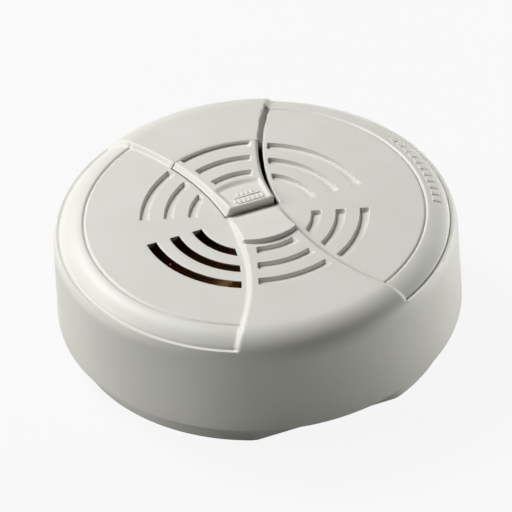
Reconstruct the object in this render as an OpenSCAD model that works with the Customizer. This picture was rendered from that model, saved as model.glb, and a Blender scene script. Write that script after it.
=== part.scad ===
// Round battery carbon monoxide alarm with a twist-lock mounting bracket.
// Frame: +Z is the axis of the drum and points out of the grille. The origin is the centre
// of the bracket's back face. +Y points from the middle of the face along the test lever.

/* [Case] */
// Diameter of the drum at the lower edge of its skirt
case_d = 126.8; // [120:0.2:136]
// Height of the flat side sectors above the bracket's back face
face_z = 41; // [40:0.5:44]
// How far the hourglass panel stands above the side sectors
panel_rise = 1.2; // [0.8:0.1:1.6]
// Thickness of the moulded walls
wall = 2; // [1.6:0.1:2.4]
// Height of the skirt's lower edge above the bracket's back face
skirt_z = 7.2; // [7:0.1:8]

/* [Face] */
// Half width of the hourglass panel at its waist
waist_half = 8.2; // [7:0.1:9]
// Radius of the arcs that form the two sides of the hourglass
side_arc_r = 85; // [80:1:95]
// Radius of the thin ring groove round the side sectors
ring_groove_r = 53; // [52:0.1:54]
// Outer radius of the outermost ring of slots
slot_outer_r = 35.7; // [34:0.1:36.5]
// Radial width of one slot
slot_w = 3.2; // [2.6:0.1:3.6]
// Distance from one ring of slots to the next
slot_pitch = 7.5; // [6.5:0.1:8]
// Angle taken by each plain spoke between the side groups of slots
spoke_angle = 20; // [16:1:24]
// Half angle of the slots on the hourglass panel
panel_slot_half = 19.5; // [16:0.5:20]
// Number of raised grip bars on the rim at the right
rim_bars = 11; // [5:2:13]

/* [Bracket] */
// Outer radius of the bracket's rim
bracket_r = 59.4; // [57:0.1:60]
// Height of the bracket's rim
bracket_h = 6.6; // [6:0.1:6.8]
// Thickness of the bracket's back plate
bracket_t = 2.5; // [2:0.1:2.6]
// Distance between the two screw slots
screw_spacing = 95; // [92:1:96]
// Width of a screw slot
screw_slot_w = 4.6; // [4:0.1:5]
// Length of a screw slot, end to end
screw_slot_l = 8.6; // [7:0.1:9]

/* [Battery] */
// Length of the battery without its studs
battery_l = 46.4; // [46:0.1:46.6]
// Width of the battery
battery_w = 26.5; // [26:0.1:26.6]
// Thickness of the battery
battery_t = 17.5; // [17:0.1:17.6]

/* [Circuit] */
// Radius of the circuit board
board_r = 50; // [48:0.5:51]
// Thickness of the circuit board
board_t = 1.6; // [1.2:0.1:1.8]
// Outer radius of the horn's resonator cup
horn_r = 14; // [13:0.1:14.2]
// Radius of the gas sensor's can
sensor_r = 9.5; // [8:0.1:10]

/* [Hidden] */
$fn = 96;
eps = 0.01;

skirt_r = case_d / 2;
wall_r = skirt_r - 0.6;             // radius at the top of the drafted wall
panel_z = face_z + panel_rise;
shoulder_r = 9.2;                   // rounding of the drum's top edge
shoulder_z = panel_z - shoulder_r;
shoulder_c = wall_r - shoulder_r;   // radius at which the rounding starts
roof_z = face_z - wall;             // underside of the face
band_r = 9.6;                       // rounding of the side sectors' rim band
band_end_r = 60.2;
band_c_z = face_z - band_r;
ledge_z = band_c_z + sqrt(band_r^2 - (band_end_r - ring_groove_r)^2);
flank_run = 1.5;                    // sideways run of the panel's flank per mm of height
arc_c = waist_half + side_arc_r;    // distance from the axis to the centre of a side arc
big = 80;

groove_depth = 1.3;
slot_end_gap = 2.35;                // plain land between a slot's end and the panel
slot_rs = [for (i = [0:2]) slot_outer_r - i * slot_pitch];

lever_front_y = 2.3;
lever_r = slot_outer_r - 0.3;       // the seam lies at the outer edge of the outer slot
lever_bottom_z = roof_z + 0.6;
lever_gap = 0.45;
lever_gap_right = 1.5;
thumb_r = 16.6;
thumb_front_z = face_z + 2.9;
thumb_slope = 0.186;
pad_r = 15.8;
pad_start_y = 1.8;
pad_slope = 0.159;
pivot_y = 33.5;
pivot_z = face_z - 3.7;
pivot_r = 1;
running_gap = 0.05;

board_z = 24.6;
board_top = board_z + board_t;
screw_xy = [34, 29];
horn_xy = [-8, 22];
sensor_xy = [20, -20];
switch_xy = [1.5, 6];
switch_h = 3.5;
plunger_r = 1.75;
plunger_top = 34;

pan_r = 53;
pan_z = bracket_t + 0.5;
pan_floor = 2;
bay_x = 27;
bay_y0 = -7.5;
bay_y1 = 25;
bay_wall = 1.6;
bay_top = board_z - 0.4;
door_gap = 0.4;
door_t = 1.9;
hinge_y = bay_y0 + 1.7;
hinge_z = pan_z + 1.4;
hinge_barrel_r = 1.4;
hinge_pin_r = 0.9;
battery_z = pan_z + 2.6;
battery_y = 9;
battery_x = -24.25;
stud_pitch = 12.7;

opening_r = 40;
rim_t = 2;
flat_y = -54.6;                     // the bracket's straight lower edge
lug_angles = [20, 110, 200, 310];   // uneven, so the alarm locks on in one position only
lug_span = 20;
hook_span = 24;
stop_span = 2;                      // angle of the stop that a lug turns back against
clip_angles = [45, 135, 225, 315];
clip_span = 12;

shell_white = "#e3e2db";
black_plastic = "#1b1b1d";
tin = "#b9bbb8";

// ---- shared shapes -------------------------------------------------------

// A ring of rectangular section from r0 to r1 and z0 to z1, over an angle from a start
module ring_part(r0, r1, z0, z1, start, span) {
    rotate([0, 0, start])
        rotate_extrude(angle = span, $fn = 192)
            translate([r0, z0]) square([r1 - r0, z1 - z0]);
}

// A plain ring of rectangular section
module ring(r0, r1, z0, z1) {
    difference() {
        translate([0, 0, z0]) cylinder(h = z1 - z0, r = r1, $fn = 192);
        translate([0, 0, z0 - 1]) cylinder(h = z1 - z0 + 2, r = r0, $fn = 192);
    }
}

// A box given by its two corners
module block(low, high) {
    translate(low) cube(high - low);
}

// Everything on one side of the hourglass, with the panel's sloped flank above the face
module side_zone(side, inset, z0, flank) {
    translate([side * arc_c, 0, 0]) {
        translate([0, 0, z0])
            cylinder(h = face_z - z0 + eps, r = side_arc_r - 0.9 + inset, $fn = 360);
        translate([0, 0, face_z])
            cylinder(h = 6, r1 = side_arc_r - 0.9 + inset,
                r2 = side_arc_r - 0.9 + inset + 6 * flank, $fn = 360);
    }
}

// Space between the two side arcs, out to a radius, in front of or behind a line in Y
module hourglass_zone(r, z0, left_inset, right_inset, flank) {
    difference() {
        translate([0, 0, z0]) cylinder(h = panel_z + 4 - z0, r = r, $fn = 192);
        side_zone(-1, left_inset, z0 - 1, flank);
        side_zone(1, right_inset, z0 - 1, flank);
    }
}

// One group of three slots in a side sector, which stops short of the panel
module side_slots(side, start, span, z0) {
    intersection() {
        for (r = slot_rs) ring_part(r - slot_w, r, z0, face_z + 1, start, span);
        translate([side * arc_c, 0, z0 - 1])
            cylinder(h = big, r = side_arc_r - slot_end_gap, $fn = 360);
    }
}

// One group of three slots on the panel
module panel_slots(middle, z0) {
    for (r = slot_rs)
        ring_part(r - slot_w, r, z0, panel_z + 1, middle - panel_slot_half, 2 * panel_slot_half);
}

// ---- bracket -------------------------------------------------------------

module bracket_outline(r, y_flat, z0, z1) {
    intersection() {
        translate([0, 0, z0]) cylinder(h = z1 - z0, r = r, $fn = 192);
        block([-big, y_flat, z0 - 1], [big, big, z1 + 1]);
    }
}

module mounting_bracket() {
    color(shell_white) {
        difference() {
            bracket_outline(bracket_r, flat_y, 0, bracket_h);
            bracket_outline(bracket_r - rim_t, flat_y + 1, bracket_t, bracket_h + 1);
            translate([0, 0, -1]) cylinder(h = bracket_h, r = opening_r, $fn = 192);
            for (s = [-1, 1]) screw_slot(s * screw_spacing / 2);
        }
        for (a = lug_angles) {
            ring_part(pan_r + 0.4, bracket_r - rim_t + 0.3, 4.5, 6,
                a - hook_span / 2 - stop_span, hook_span + stop_span);
            // Stop at one end of the hook, down to the plate
            ring_part(pan_r + 0.6, bracket_r - rim_t + 0.5, bracket_t - 0.3, 4.8,
                a - hook_span / 2 - stop_span + 0.2, stop_span - 0.4);
        }
    }
}

module screw_slot(x) {
    half = (screw_slot_l - screw_slot_w) / 2;
    translate([x, 0, -1]) {
        for (s = [-1, 1]) translate([s * half, 0, 0])
            cylinder(h = 6, d = screw_slot_w, $fn = 48);
        translate([-half, -screw_slot_w / 2, 0]) cube([2 * half, screw_slot_w, 6]);
    }
}

// ---- front cover ---------------------------------------------------------

module drum_profile() {
    difference() {
        union() {
            polygon([[0, skirt_z], [skirt_r, skirt_z], [wall_r, shoulder_z], [0, shoulder_z]]);
            translate([0, shoulder_z - eps]) square([shoulder_c, shoulder_r + eps]);
            translate([shoulder_c, shoulder_z]) intersection() {
                circle(shoulder_r, $fn = 128);
                translate([-eps, -eps]) square(shoulder_r + 1);
            }
        }
        drum_hollow_profile();
    }
}

module drum_hollow_profile() {
    inner_r = shoulder_r - 3.2;
    inner_c = wall_r - wall - 0.2 - inner_r;
    polygon([[-1, skirt_z - 1], [skirt_r - wall - 0.2, skirt_z - 1],
        [wall_r - wall - 0.2, shoulder_z], [-1, shoulder_z]]);
    translate([-1, shoulder_z - eps]) square([inner_c + 1, roof_z - shoulder_z + eps]);
    translate([inner_c, shoulder_z]) intersection() {
        circle(inner_r, $fn = 128);
        translate([-eps, -eps]) square(inner_r + 1);
    }
}

// What is taken off above the side sectors' face, rim band and ledge
module side_cut_profile() {
    difference() {
        translate([0, ledge_z]) square([big, 10]);
        translate([-1, ledge_z - 1]) square([ring_groove_r + 1, face_z - ledge_z + 1]);
        translate([ring_groove_r, band_c_z]) intersection() {
            circle(band_r, $fn = 160);
            square([band_end_r - ring_groove_r, band_r + 1]);
        }
    }
}

module ring_groove_profile() {
    polygon([[ring_groove_r - 0.45, face_z + 0.1], [ring_groove_r, face_z - 0.55],
        [ring_groove_r + 0.45, face_z + 0.1]]);
}

module lever_opening() {
    intersection() {
        hourglass_zone(slot_outer_r, roof_z - 1, 0, 0, 0);
        block([-big, pad_start_y, roof_z - 1], [big, big, panel_z + 5]);
    }
}

// Wedge-shaped zone in front of the lever, above or below the sloping pad
module pad_wedge(z_base, extra) {
    intersection() {
        hourglass_zone(pad_r, roof_z, 0.6, 0.6, 0.3);
        rotate([90, 0, 90]) translate([0, 0, -20]) linear_extrude(40)
            polygon([[pad_start_y, z_base], [pad_start_y, face_z + extra],
                [-pad_r - 1, face_z + extra + (pad_r + 1 + pad_start_y) * pad_slope],
                [-pad_r - 1, z_base]]);
    }
}

module pad_clearance() {
    intersection() {
        hourglass_zone(pad_r, face_z, 0, 0, 0);
        block([-big, -big, face_z], [big, pad_start_y, panel_z + 5]);
    }
}

module rim_bar(a) {
    bar = 2.2;
    rotate([0, 0, a - bar / 2]) rotate_extrude(angle = bar)
        intersection() {
            translate([ring_groove_r, band_c_z]) circle(band_r + 0.4, $fn = 160);
            translate([ring_groove_r + 2.4, ledge_z]) square([2.4, 5]);
        }
}

module pivot_lug(side) {
    difference() {
        union() {
            block([min(side * 10.3, side * 12.3), pivot_y - 2, pivot_z - 1.9],
                [max(side * 10.3, side * 12.3), 39, lever_bottom_z - 0.8]);
            block([min(side * 10.3, side * 12.3), 36.2, pivot_z - 1.9],
                [max(side * 10.3, side * 12.3), 39, roof_z + eps]);
        }
        translate([side * 11.3, pivot_y, pivot_z]) rotate([0, 90, 0])
            cylinder(h = 4, r = pivot_r + running_gap, center = true, $fn = 48);
    }
}

module front_cover() {
    color(shell_white) {
        difference() {
            rotate_extrude($fn = 240) drum_profile();
            intersection() {
                rotate_extrude($fn = 240) side_cut_profile();
                union() {
                    side_zone(-1, 0, ledge_z - 1, flank_run);
                    side_zone(1, 0, ledge_z - 1, flank_run);
                }
            }
            intersection() {
                rotate_extrude($fn = 240) ring_groove_profile();
                union() {
                    side_zone(-1, 0, ledge_z - 1, flank_run);
                    side_zone(1, 0, ledge_z - 1, flank_run);
                }
            }
            side_slots(-1, 180, 90, roof_z - 1);
            side_slots(-1, 90, 90 - spoke_angle, face_z - groove_depth);
            side_slots(1, 0, 90, face_z - groove_depth);
            side_slots(1, 270, 90 - spoke_angle, face_z - groove_depth);
            panel_slots(270, panel_z - groove_depth);
            lever_opening();
            pad_clearance();
        }
        pad_wedge(roof_z + 0.5, 0);
        for (i = [0:rim_bars - 1]) rim_bar((i - (rim_bars - 1) / 2) * 3.4);
        for (side = [-1, 1]) pivot_lug(side);
        for (a = clip_angles)
            ring_part(wall_r - wall - 0.6, wall_r - wall + 0.5, 13, 14.4, a - 8, 16);
    }
}

// ---- back housing --------------------------------------------------------

module back_housing() {
    color("#d8d7d0") difference() {
        union() {
            difference() {
                translate([0, 0, pan_z]) cylinder(h = skirt_z - pan_z + wall, r = pan_r, $fn = 192);
                translate([0, 0, pan_z + pan_floor]) cylinder(h = 20, r = pan_r - wall, $fn = 192);
            }
            ring(pan_r - wall, skirt_r - wall - 0.7, skirt_z, skirt_z + wall);
            for (a = clip_angles) {
                ring_part(57.6, 59.4, skirt_z + wall - eps, 17, a - clip_span / 2, clip_span);
                ring_part(59.3, 60.5, 14.7, 16.4, a - clip_span / 2, clip_span);
            }
            for (a = lug_angles)
                ring_part(pan_r - 0.5, pan_r + 2, pan_z, pan_z + 1.2, a - lug_span / 2, lug_span);
            for (sx = [-1, 1], sy = [-1, 1])
                translate([sx * screw_xy[0], sy * screw_xy[1], pan_z])
                    cylinder(h = board_z - pan_z, r = 3.6, $fn = 48);
            block([-bay_x - bay_wall, bay_y0 - bay_wall, pan_z],
                [bay_x + bay_wall, bay_y1 + bay_wall, bay_top]);
        }
        block([-bay_x, bay_y0, pan_z - 1], [bay_x, bay_y1, bay_top + 1]);
        for (sx = [-1, 1], sy = [-1, 1])
            translate([sx * screw_xy[0], sy * screw_xy[1], 12])
                cylinder(h = 20, r = 1.4, $fn = 48);
        translate([0, hinge_y, hinge_z]) rotate([0, 90, 0])
            cylinder(h = 2 * bay_x + 2.6, r = hinge_pin_r + running_gap, center = true, $fn = 48);
        // Catch slot for the door's latch
        block([-5.4, bay_y1 - 1, pan_z + 0.7], [5.4, bay_y1 + 0.9, pan_z + 2.3]);
    }
}

// ---- circuit -------------------------------------------------------------

module circuit_board() {
    color("#5a3a1c") difference() {
        translate([0, 0, board_z]) cylinder(h = board_t, r = board_r, $fn = 192);
        for (sx = [-1, 1], sy = [-1, 1])
            translate([sx * screw_xy[0], sy * screw_xy[1], board_z - 1])
                cylinder(h = 4, r = 1.6, $fn = 48);
        // Flat on the side of the bracket's flat, and two keying notches
        block([-big, -big, board_z - 1], [big, -board_r + 3, board_top + 1]);
        for (s = [-1, 1]) translate([s * board_r, 0, board_z - 1])
            cylinder(h = 4, r = 2.5, $fn = 48);
    }
}

module board_screws() {
    color(tin) for (sx = [-1, 1], sy = [-1, 1])
        translate([sx * screw_xy[0], sy * screw_xy[1], 0]) difference() {
            union() {
                translate([0, 0, board_top]) cylinder(h = 1.9, r = 2.9, $fn = 48);
                translate([0, 0, 14]) cylinder(h = board_top - 14 + eps, r = 1.35, $fn = 48);
            }
            for (a = [0, 90]) rotate([0, 0, a])
                translate([-2, -0.4, board_top + 0.8]) cube([4, 0.8, 2]);
        }
}

module horn_housing() {
    top = roof_z - 4.2;             // clear of the lever's ears
    color(black_plastic) translate([horn_xy[0], horn_xy[1], 0]) difference() {
        translate([0, 0, board_top + 0.4]) cylinder(h = top - board_top - 0.4, r = horn_r, $fn = 96);
        translate([0, 0, board_top - 1]) cylinder(h = top - board_top - 0.6, r = horn_r - 1.6, $fn = 96);
        translate([0, 0, top - 3]) cylinder(h = 5, r = 4, $fn = 48);
    }
}

module piezo_disc() {
    color("#c8a24a") translate([horn_xy[0], horn_xy[1], board_top + 2.8])
        cylinder(h = 0.3, r = horn_r - 1.65, $fn = 96);
}

module piezo_ceramic() {
    color("#d9cfb8") translate([horn_xy[0], horn_xy[1], board_top + 2.55])
        cylinder(h = 0.25, r = horn_r - 5, $fn = 96);
}

module horn_contacts() {
    color(tin) translate([horn_xy[0], horn_xy[1], 0]) {
        translate([11, 0, board_top]) cylinder(h = 2.8, r = 0.6, $fn = 32);
        translate([-11, 0, board_top]) cylinder(h = 2.8, r = 0.6, $fn = 32);
        translate([0, 0, board_top]) cylinder(h = 2.55, r = 0.6, $fn = 32);
    }
}

module at_sensor(z) {
    translate([sensor_xy[0], sensor_xy[1], z]) children();
}

module co_sensor_can() {
    color(tin) at_sensor(board_top + 0.8) cylinder(h = 8, r = sensor_r, $fn = 96);
}

module co_sensor_seal() {
    color("#222222") at_sensor(board_top + 8.8) difference() {
        cylinder(h = 0.8, r = sensor_r - 0.4, $fn = 96);
        translate([0, 0, -1]) cylinder(h = 3, r = sensor_r - 2.4, $fn = 96);
    }
}

module co_sensor_filter() {
    color("#33302c") at_sensor(board_top + 8.8) cylinder(h = 0.8, r = sensor_r - 2.6, $fn = 96);
}

module co_sensor_cap() {
    color("#e9e6da") at_sensor(board_top + 9.6) difference() {
        cylinder(h = 1.8, r = sensor_r, $fn = 96);
        for (a = [0:60:300]) rotate([0, 0, a]) translate([3.6, 0, -1])
            cylinder(h = 4, r = 0.9, $fn = 32);
        translate([0, 0, -1]) cylinder(h = 4, r = 1.2, $fn = 32);
    }
}

module co_sensor_pins() {
    color(tin) for (a = [90, 210, 330])
        at_sensor(board_z - 1.4) rotate([0, 0, a]) translate([6, 0, 0])
            cylinder(h = board_t + 2.2, r = 0.5, $fn = 32);
}

module switch_body() {
    color(black_plastic) translate([switch_xy[0], switch_xy[1], board_top]) difference() {
        translate([-3, -3, 0]) cube([6, 6, switch_h]);
        translate([0, 0, 1]) cylinder(h = switch_h, r = plunger_r + running_gap, $fn = 48);
    }
}

module switch_plunger() {
    color("#c9c5b4") translate([switch_xy[0], switch_xy[1], board_top + 2.4])
        cylinder(h = plunger_top - board_top - 2.4, r = plunger_r, $fn = 48);
}

module led(x, y, colour) {
    color(colour) translate([x, y, board_top]) {
        cylinder(h = 1, r = 2.9, $fn = 48);
        translate([0, 0, 1 - eps]) cylinder(h = 5.1, r = 2.5, $fn = 48);
        translate([0, 0, 6.1]) intersection() {
            sphere(r = 2.5, $fn = 48);
            translate([-3, -3, -eps]) cube([6, 6, 3]);
        }
    }
}

module red_led() { led(-29, -4, "#7d1512"); }

module green_led() { led(-20, 38, "#2f8a44"); }

module microcontroller() {
    color(black_plastic) chip([0, -36], [17.9, 7.5, 2.4]);
}

module driver_chip() {
    color(black_plastic) chip([20, 36], [10, 4, 1.7]);
}

// Chip with a row of gull-wing leads on each long side
module chip(at, size) {
    lead_pitch = 1.27;
    leads = floor(size[0] / lead_pitch);
    translate([at[0], at[1], board_top]) {
        translate([-size[0] / 2, -size[1] / 2, 0.15]) cube([size[0], size[1], size[2]]);
        for (i = [0:leads - 1])
            translate([(i - (leads - 1) / 2) * lead_pitch - 0.2, -size[1] / 2 - 1, 0])
                cube([0.4, size[1] + 2, 0.5]);
    }
}

module boost_inductor() {
    color("#2b2b2b") translate([36, 10, board_top]) {
        cylinder(h = 1.2, r = 4.2, $fn = 64);
        cylinder(h = 7.5, r = 2.6, $fn = 64);
        translate([0, 0, 6.5]) cylinder(h = 1.2, r = 4.2, $fn = 64);
    }
}

module electrolytic_capacitors() {
    color("#1d2a4a") for (p = [[37, -4, 4, 10.5], [30, 20, 3.2, 9]])
        translate([p[0], p[1], board_top]) cylinder(h = p[3], r = p[2], $fn = 64);
}

module ceramic_capacitors() {
    color("#b98a4a") for (p = [[-13, -17], [-40, -14], [1, -23]])
        translate([p[0], p[1], board_top + 4.2]) rotate([90, 0, 25])
            cylinder(h = 2.4, r = 3.6, center = true, $fn = 64);
}

module resistors() {
    color("#cdb38a") for (i = [0:4])
        translate([-28.5 + 4.4 * i, -34, board_top + 1.3])
            rotate([0, 90, 90]) {
                cylinder(h = 6, r = 1.15, center = true, $fn = 32);
                cylinder(h = 9, r = 0.3, center = true, $fn = 32);
            }
}

// ---- battery -------------------------------------------------------------

module battery_contacts() {
    x = battery_x + battery_l + 2.1;
    mid_z = battery_z + battery_t / 2;
    color(tin) for (s = [-1, 1]) {
        block([x, battery_y + s * stud_pitch / 2 - 4, mid_z - 5],
            [x + 0.5, battery_y + s * stud_pitch / 2 + 4, mid_z + 5]);
        block([x, battery_y + s * stud_pitch / 2 - 1.2, mid_z + 5 - eps],
            [x + 0.5, battery_y + s * stud_pitch / 2 + 1.2, board_z]);
    }
}

module battery_case() {
    color("#3a3d42") block([battery_x, battery_y - battery_w / 2, battery_z],
        [battery_x + battery_l, battery_y + battery_w / 2, battery_z + battery_t]);
}

module battery_studs() {
    color(tin) for (s = [-1, 1])
        translate([battery_x + battery_l, battery_y + s * stud_pitch / 2,
            battery_z + battery_t / 2]) rotate([0, 90, 0])
            cylinder(h = 2.1, r = s > 0 ? 2.8 : 3.9, $fn = 48);
}

module battery_door() {
    door_x = bay_x - door_gap;
    color("#dcdbd4") {
        block([-door_x, hinge_y, pan_z], [door_x, bay_y1 - door_gap, pan_z + door_t]);
        translate([-door_x, hinge_y, hinge_z]) rotate([0, 90, 0])
            cylinder(h = 2 * door_x, r = hinge_barrel_r, $fn = 48);
        translate([-bay_x - 1.1, hinge_y, hinge_z]) rotate([0, 90, 0])
            cylinder(h = 2 * bay_x + 2.2, r = hinge_pin_r, $fn = 48);
        // Thumb rib on the outer face
        for (y = [19, 20.8, 22.6]) block([-7, y, pan_z - 0.4], [7, y + 0.8, pan_z + eps]);
    }
}

// ---- test button ---------------------------------------------------------

module lever_zone(r, z0, flank) {
    intersection() {
        hourglass_zone(r, z0, lever_gap, lever_gap_right, flank);
        block([-big, lever_front_y, z0 - 1], [big, big, panel_z + 5]);
    }
}

// Wedge above the sloping thumb face, from the lever's front edge to its back
module above_thumb() {
    rotate([90, 0, 90]) translate([0, 0, -20]) linear_extrude(40)
        polygon([[0, thumb_front_z + thumb_slope * lever_front_y], [0, face_z + 9],
            [thumb_r + 3, face_z + 9],
            [thumb_r + 3, thumb_front_z - thumb_slope * (thumb_r + 3 - lever_front_y)]]);
}

module test_button() {
    color(shell_white) {
        difference() {
            union() {
                difference() {
                    lever_zone(lever_r, lever_bottom_z, flank_run);
                    block([-big, -big, panel_z], [big, big, panel_z + 9]);
                }
                lever_zone(thumb_r, lever_bottom_z, 0.3);
            }
            intersection() {
                above_thumb();
                translate([0, 0, roof_z]) cylinder(h = 20, r = thumb_r + eps, $fn = 192);
            }
            panel_slots(90, panel_z - groove_depth);
        }
        for (row = [0, 1]) for (i = [-2:2])
            translate([i * 2.2 - 0.4, 5.6 + row * 4.2, 0]) grip_rib(5.6 + row * 4.2);
        translate([switch_xy[0], switch_xy[1], plunger_top + 0.3])
            cylinder(h = lever_bottom_z - plunger_top, r = 1.9, $fn = 48);
        for (side = [-1, 1]) {
            block([side > 0 ? 8.4 : -9.9, pivot_y - 1.8, pivot_z - 1.8],
                [side > 0 ? 9.9 : -8.4, pivot_y + 1.6, roof_z - 0.5]);
            block([side > 0 ? 8.4 : -9.9, pivot_y - 1.8, roof_z - 0.6],
                [side > 0 ? 9.9 : -8.4, pivot_y + 0.2, lever_bottom_z + eps]);
            translate([side * 10.7, pivot_y, pivot_z]) rotate([0, 90, 0])
                cylinder(h = 3, r = pivot_r, center = true, $fn = 48);
        }
    }
}

// Short raised rib that stands on the sloping thumb face
module grip_rib(y) {
    z = thumb_front_z - thumb_slope * (y - lever_front_y);
    translate([0, -1, z - 0.8]) cube([0.8, 2, 1.15]);
}

mounting_bracket();
front_cover();
back_housing();
circuit_board();
board_screws();
horn_housing();
piezo_disc();
piezo_ceramic();
horn_contacts();
co_sensor_can();
co_sensor_cap();
co_sensor_filter();
co_sensor_seal();
co_sensor_pins();
switch_body();
switch_plunger();
test_button();
red_led();
green_led();
microcontroller();
driver_chip();
boost_inductor();
electrolytic_capacitors();
ceramic_capacitors();
resistors();
battery_contacts();
battery_case();
battery_studs();
battery_door();
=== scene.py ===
# %% [markdown]
# # A round carbon monoxide alarm
# The imported model holds the true sizes, the bodies and the joints. This script gives it its
# looks: a moulded cover with soft edges, the parts that show through its slots and on its
# back, and a procedural finish on every surface. It is read from top to bottom, one step a
# cell, and most cells print what they made or measured.

# %% Load the fixed frame
import math

import bmesh
import bpy
from mathutils import Matrix, Vector


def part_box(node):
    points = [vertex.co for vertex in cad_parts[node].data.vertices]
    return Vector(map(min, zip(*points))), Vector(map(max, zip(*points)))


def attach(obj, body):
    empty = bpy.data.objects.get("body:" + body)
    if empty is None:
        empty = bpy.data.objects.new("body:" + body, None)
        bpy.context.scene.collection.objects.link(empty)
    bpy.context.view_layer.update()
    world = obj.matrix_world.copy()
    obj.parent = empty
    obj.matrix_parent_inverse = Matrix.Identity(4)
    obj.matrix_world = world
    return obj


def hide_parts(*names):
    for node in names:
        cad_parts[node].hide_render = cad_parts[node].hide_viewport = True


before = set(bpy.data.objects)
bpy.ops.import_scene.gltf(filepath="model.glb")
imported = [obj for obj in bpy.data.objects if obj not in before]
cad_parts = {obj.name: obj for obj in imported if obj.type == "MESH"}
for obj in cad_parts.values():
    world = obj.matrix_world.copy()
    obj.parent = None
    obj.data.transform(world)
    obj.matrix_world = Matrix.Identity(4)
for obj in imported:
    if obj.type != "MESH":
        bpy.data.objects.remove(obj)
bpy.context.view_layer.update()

# %% [markdown]
# ## Sizes
# Blender works in metres and the design in millimetres. Every length below is written in
# millimetres, as on a drawing, and one factor turns it to metres when a mesh is made. Most
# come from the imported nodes' own boxes, and the rest repeat the design's driving sizes.

# %% Driving sizes, in millimetres
MM = 0.001


def box_mm(node):
    """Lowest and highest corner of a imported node, in millimetres."""
    low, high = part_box(node)
    return low / MM, high / MM


cover_low, cover_high = box_mm("front_cover")
FACE_Z = 41.0          # flat side sectors
PANEL_Z = 42.2         # raised hourglass panel
ROOF_Z = 39.0          # underside of the face
SKIRT_R = cover_high.x
SKIRT_Z = cover_low.z
WALL_R = SKIRT_R - 0.6
SHOULDER = 9.2         # rounding of the drum's top edge
SIDE_ARC_R = 85.0      # arcs that form the two sides of the hourglass
WAIST_HALF = 8.2
ARC_C = WAIST_HALF + SIDE_ARC_R
print(f"drum {2 * SKIRT_R:.1f} mm across, skirt from z = {SKIRT_Z:.1f} mm")

# %% [markdown]
# ## Camera
# The view is from the lower left of the face, about 39 degrees above it, through a long
# lens, and the camera leans a little. The lens is given as a focal length on a 36 mm wide
# sensor. The camera is aimed a few millimetres below the middle of the face, so that the
# whole drum sits in the frame without any lens shift.

# %% Place the camera
VIEW_AZIMUTH = math.radians(-19.6)
VIEW_ELEVATION = math.radians(38.9)
VIEW_ROLL = math.radians(-3.44)
VIEW_DISTANCE = 1466.0
FACE_CENTRE = Vector((0, 0, FACE_Z))

towards_camera = Vector((
    math.sin(VIEW_AZIMUTH) * math.cos(VIEW_ELEVATION),
    -math.cos(VIEW_AZIMUTH) * math.cos(VIEW_ELEVATION),
    math.sin(VIEW_ELEVATION),
))
level_right = Vector((math.cos(VIEW_AZIMUTH), math.sin(VIEW_AZIMUTH), 0))
level_up = towards_camera.cross(level_right)
leaning_right = level_right * math.cos(VIEW_ROLL) + level_up * math.sin(VIEW_ROLL)
leaning_up = level_up * math.cos(VIEW_ROLL) - level_right * math.sin(VIEW_ROLL)
camera_place = FACE_CENTRE + towards_camera * VIEW_DISTANCE
aim = FACE_CENTRE + leaning_right * 0.43 - leaning_up * 13.0
back = (camera_place - aim).normalized()
right = leaning_up.cross(back).normalized()
up = back.cross(right)

camera_data = bpy.data.cameras.new("camera")
camera_data.sensor_width = 36
camera_data.lens = 333.5
camera_data.clip_end = 20
camera = bpy.data.objects.new("camera", camera_data)
bpy.context.scene.collection.objects.link(camera)
turn = Matrix((right, up, back)).transposed().to_4x4()
camera.matrix_world = Matrix.Translation(camera_place * MM) @ turn
bpy.context.scene.camera = camera
print("camera at", [round(c) for c in camera_place], "mm")

# %% [markdown]
# ## One helper for shader nodes
# Every finish is a small tree of nodes. This one function adds a node, sets what it is
# given and links what it is given, so a finish reads like a list. A setting whose name is
# a socket's goes to the socket, and anything else is a property of the node.

# %% Node helper


def add_node(tree, kind, links=None, sockets=None, **properties):
    """Add a shader node with its properties, its socket values and its links."""
    made = tree.nodes.new(kind)
    for name, value in properties.items():
        setattr(made, name, value)
    for name, value in (sockets or {}).items():
        made.inputs[name].default_value = value
    for name, source in (links or {}).items():
        tree.links.new(source, made.inputs[name])
    return made


def new_finish(name):
    """An empty material, with its tree and its main shader."""
    material = bpy.data.materials.new(name)
    material.use_nodes = True
    tree = material.node_tree
    return material, tree, tree.nodes["Principled BSDF"]


print("node helper ready")

# %% [markdown]
# ## Light and floor
# A product on white is lit by big soft sources. The main one stands behind the object and a
# little to the left, so the flat top and the left of the drum are bright, every slot gets a
# shaded wall, and the wall that faces the viewer falls into a grey shade. A second soft
# source stands at the left, and two low cards near the floor lift only the ends of that
# wall. The paper and the backdrop are bright to the eye, but throw little light back, as
# in a studio with black cards in front.

# %% Build the studio


def linear(hex_colour):
    """sRGB hex to the linear red, green, blue and alpha that a shader wants."""
    levels = [int(hex_colour[i:i + 2], 16) / 255 for i in (1, 3, 5)]
    bent = [c / 12.92 if c <= 0.04045 else ((c + 0.055) / 1.055) ** 2.4 for c in levels]
    return (*bent, 1)


def soft_light(name, azimuth, elevation, size, power, distance=1300):
    """A square area light that faces the face's centre, in degrees, millimetres and watts."""
    data = bpy.data.lights.new(name, "AREA")
    data.size = size * MM
    data.energy = power
    light = bpy.data.objects.new(name, data)
    bpy.context.scene.collection.objects.link(light)
    a, e = math.radians(azimuth), math.radians(elevation)
    out = Vector((math.cos(a) * math.cos(e), math.sin(a) * math.cos(e), math.sin(e)))
    turned = out.to_track_quat("Z", "Y").to_matrix().to_4x4()
    light.matrix_world = Matrix.Translation((FACE_CENTRE + out * distance) * MM) @ turned
    return light


soft_light("key_light", 117, 50, 420, 14.3)
soft_light("left_light", 160, 28, 500, 6.3)


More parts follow.
